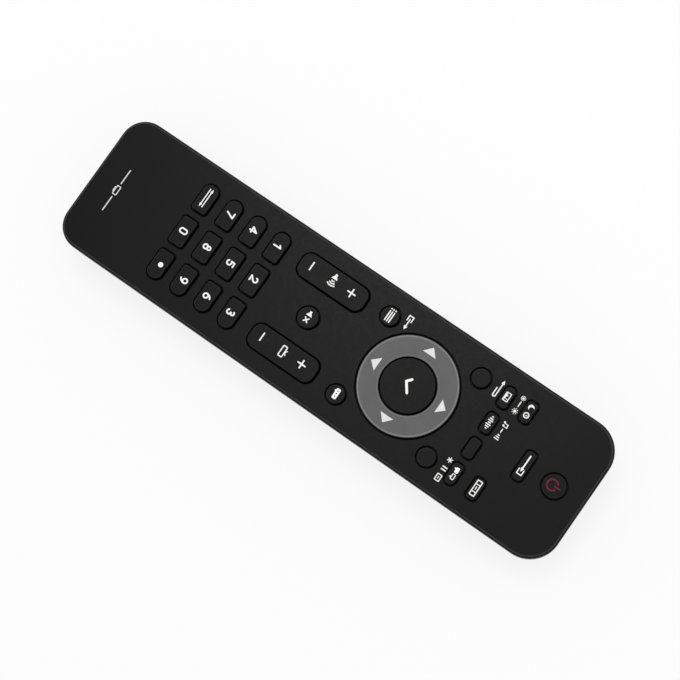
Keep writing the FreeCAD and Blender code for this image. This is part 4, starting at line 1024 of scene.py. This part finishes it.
def floor_material():
    """A dull surface that takes the shadow, lifted to white where it is seen directly."""
    material, shader = new_material("floor_white", FLOOR_COLOUR, 0.9, 0.1)
    lift = add_node(material, "ShaderNodeMath", operation="MULTIPLY")
    join(material, seen_directly(material), lift.inputs[0])
    lift.inputs[1].default_value = FLOOR_LIFT
    glow = add_node(material, "ShaderNodeEmission")
    glow.inputs["Color"].default_value = (1, 1, 1, 1)
    join(material, lift.outputs[0], glow.inputs["Strength"])
    both = add_node(material, "ShaderNodeAddShader")
    join(material, shader.outputs["BSDF"], both.inputs[0])
    join(material, glow.outputs["Emission"], both.inputs[1])
    output = material.node_tree.nodes["Material Output"]
    join(material, both.outputs["Shader"], output.inputs["Surface"])
    return material


def make_floor():
    half = FLOOR_HALF_SIZE
    height = cad_box[0].z - FLOOR_DROP
    mesh = bpy.data.meshes.new("floor")
    mesh.from_pydata([(-half, -half, height), (half, -half, height), (half, half, height),
                      (-half, half, height)], [], [(0, 1, 2, 3)])
    floor = bpy.data.objects.new("floor", mesh)
    bpy.context.scene.collection.objects.link(floor)
    give_material(floor, floor_material())


def make_world():
    """Even light from all round, seen as plain white behind the object."""
    world = bpy.data.worlds.new("studio")
    bpy.context.scene.world = world
    world.use_nodes = True
    background = world.node_tree.nodes["Background"]
    background.inputs["Color"].default_value = (1, 1, 1, 1)
    strength = add_node(world, "ShaderNodeMapRange")
    strength.inputs["To Min"].default_value = ROOM_LIGHT
    strength.inputs["To Max"].default_value = 1.0
    join(world, seen_directly(world), strength.inputs["Value"])
    join(world, strength.outputs["Result"], background.inputs["Strength"])


def add_area_light(name, place, size, power):
    """A square lamp that points at the middle of the part's underside."""
    light = bpy.data.lights.new(name, "AREA")
    light.shape = "SQUARE"
    light.size = size
    light.energy = power
    lamp = bpy.data.objects.new(name, light)
    bpy.context.scene.collection.objects.link(lamp)
    lamp.location = place
    direction = -Vector(place)
    lamp.rotation_mode = "QUATERNION"
    lamp.rotation_quaternion = direction.to_track_quat("-Z", "Y")


def make_camera():
    data = bpy.data.cameras.new("camera")
    data.sensor_width = SENSOR_WIDTH
    data.lens = FOCAL_PIXELS / IMAGE_WIDTH * SENSOR_WIDTH
    camera = bpy.data.objects.new("camera", data)
    bpy.context.scene.collection.objects.link(camera)
    place = Vector(CAMERA_PLACE) * MM
    forward = (Vector(CAMERA_TARGET) * MM - place).normalized()
    right = forward.cross(Vector(CAMERA_UP)).normalized()
    up = right.cross(forward)
    turn = Matrix((right, up, -forward)).transposed()
    camera.matrix_world = Matrix.Translation(place) @ turn.to_4x4()
    bpy.context.scene.camera = camera


make_floor()
make_world()
add_area_light("softbox", SOFTBOX_PLACE, SOFTBOX_SIZE, SOFTBOX_POWER)
add_area_light("lamp", LAMP_PLACE, LAMP_SIZE, LAMP_POWER)
make_camera()
bpy.context.scene.view_settings.view_transform = "Standard"
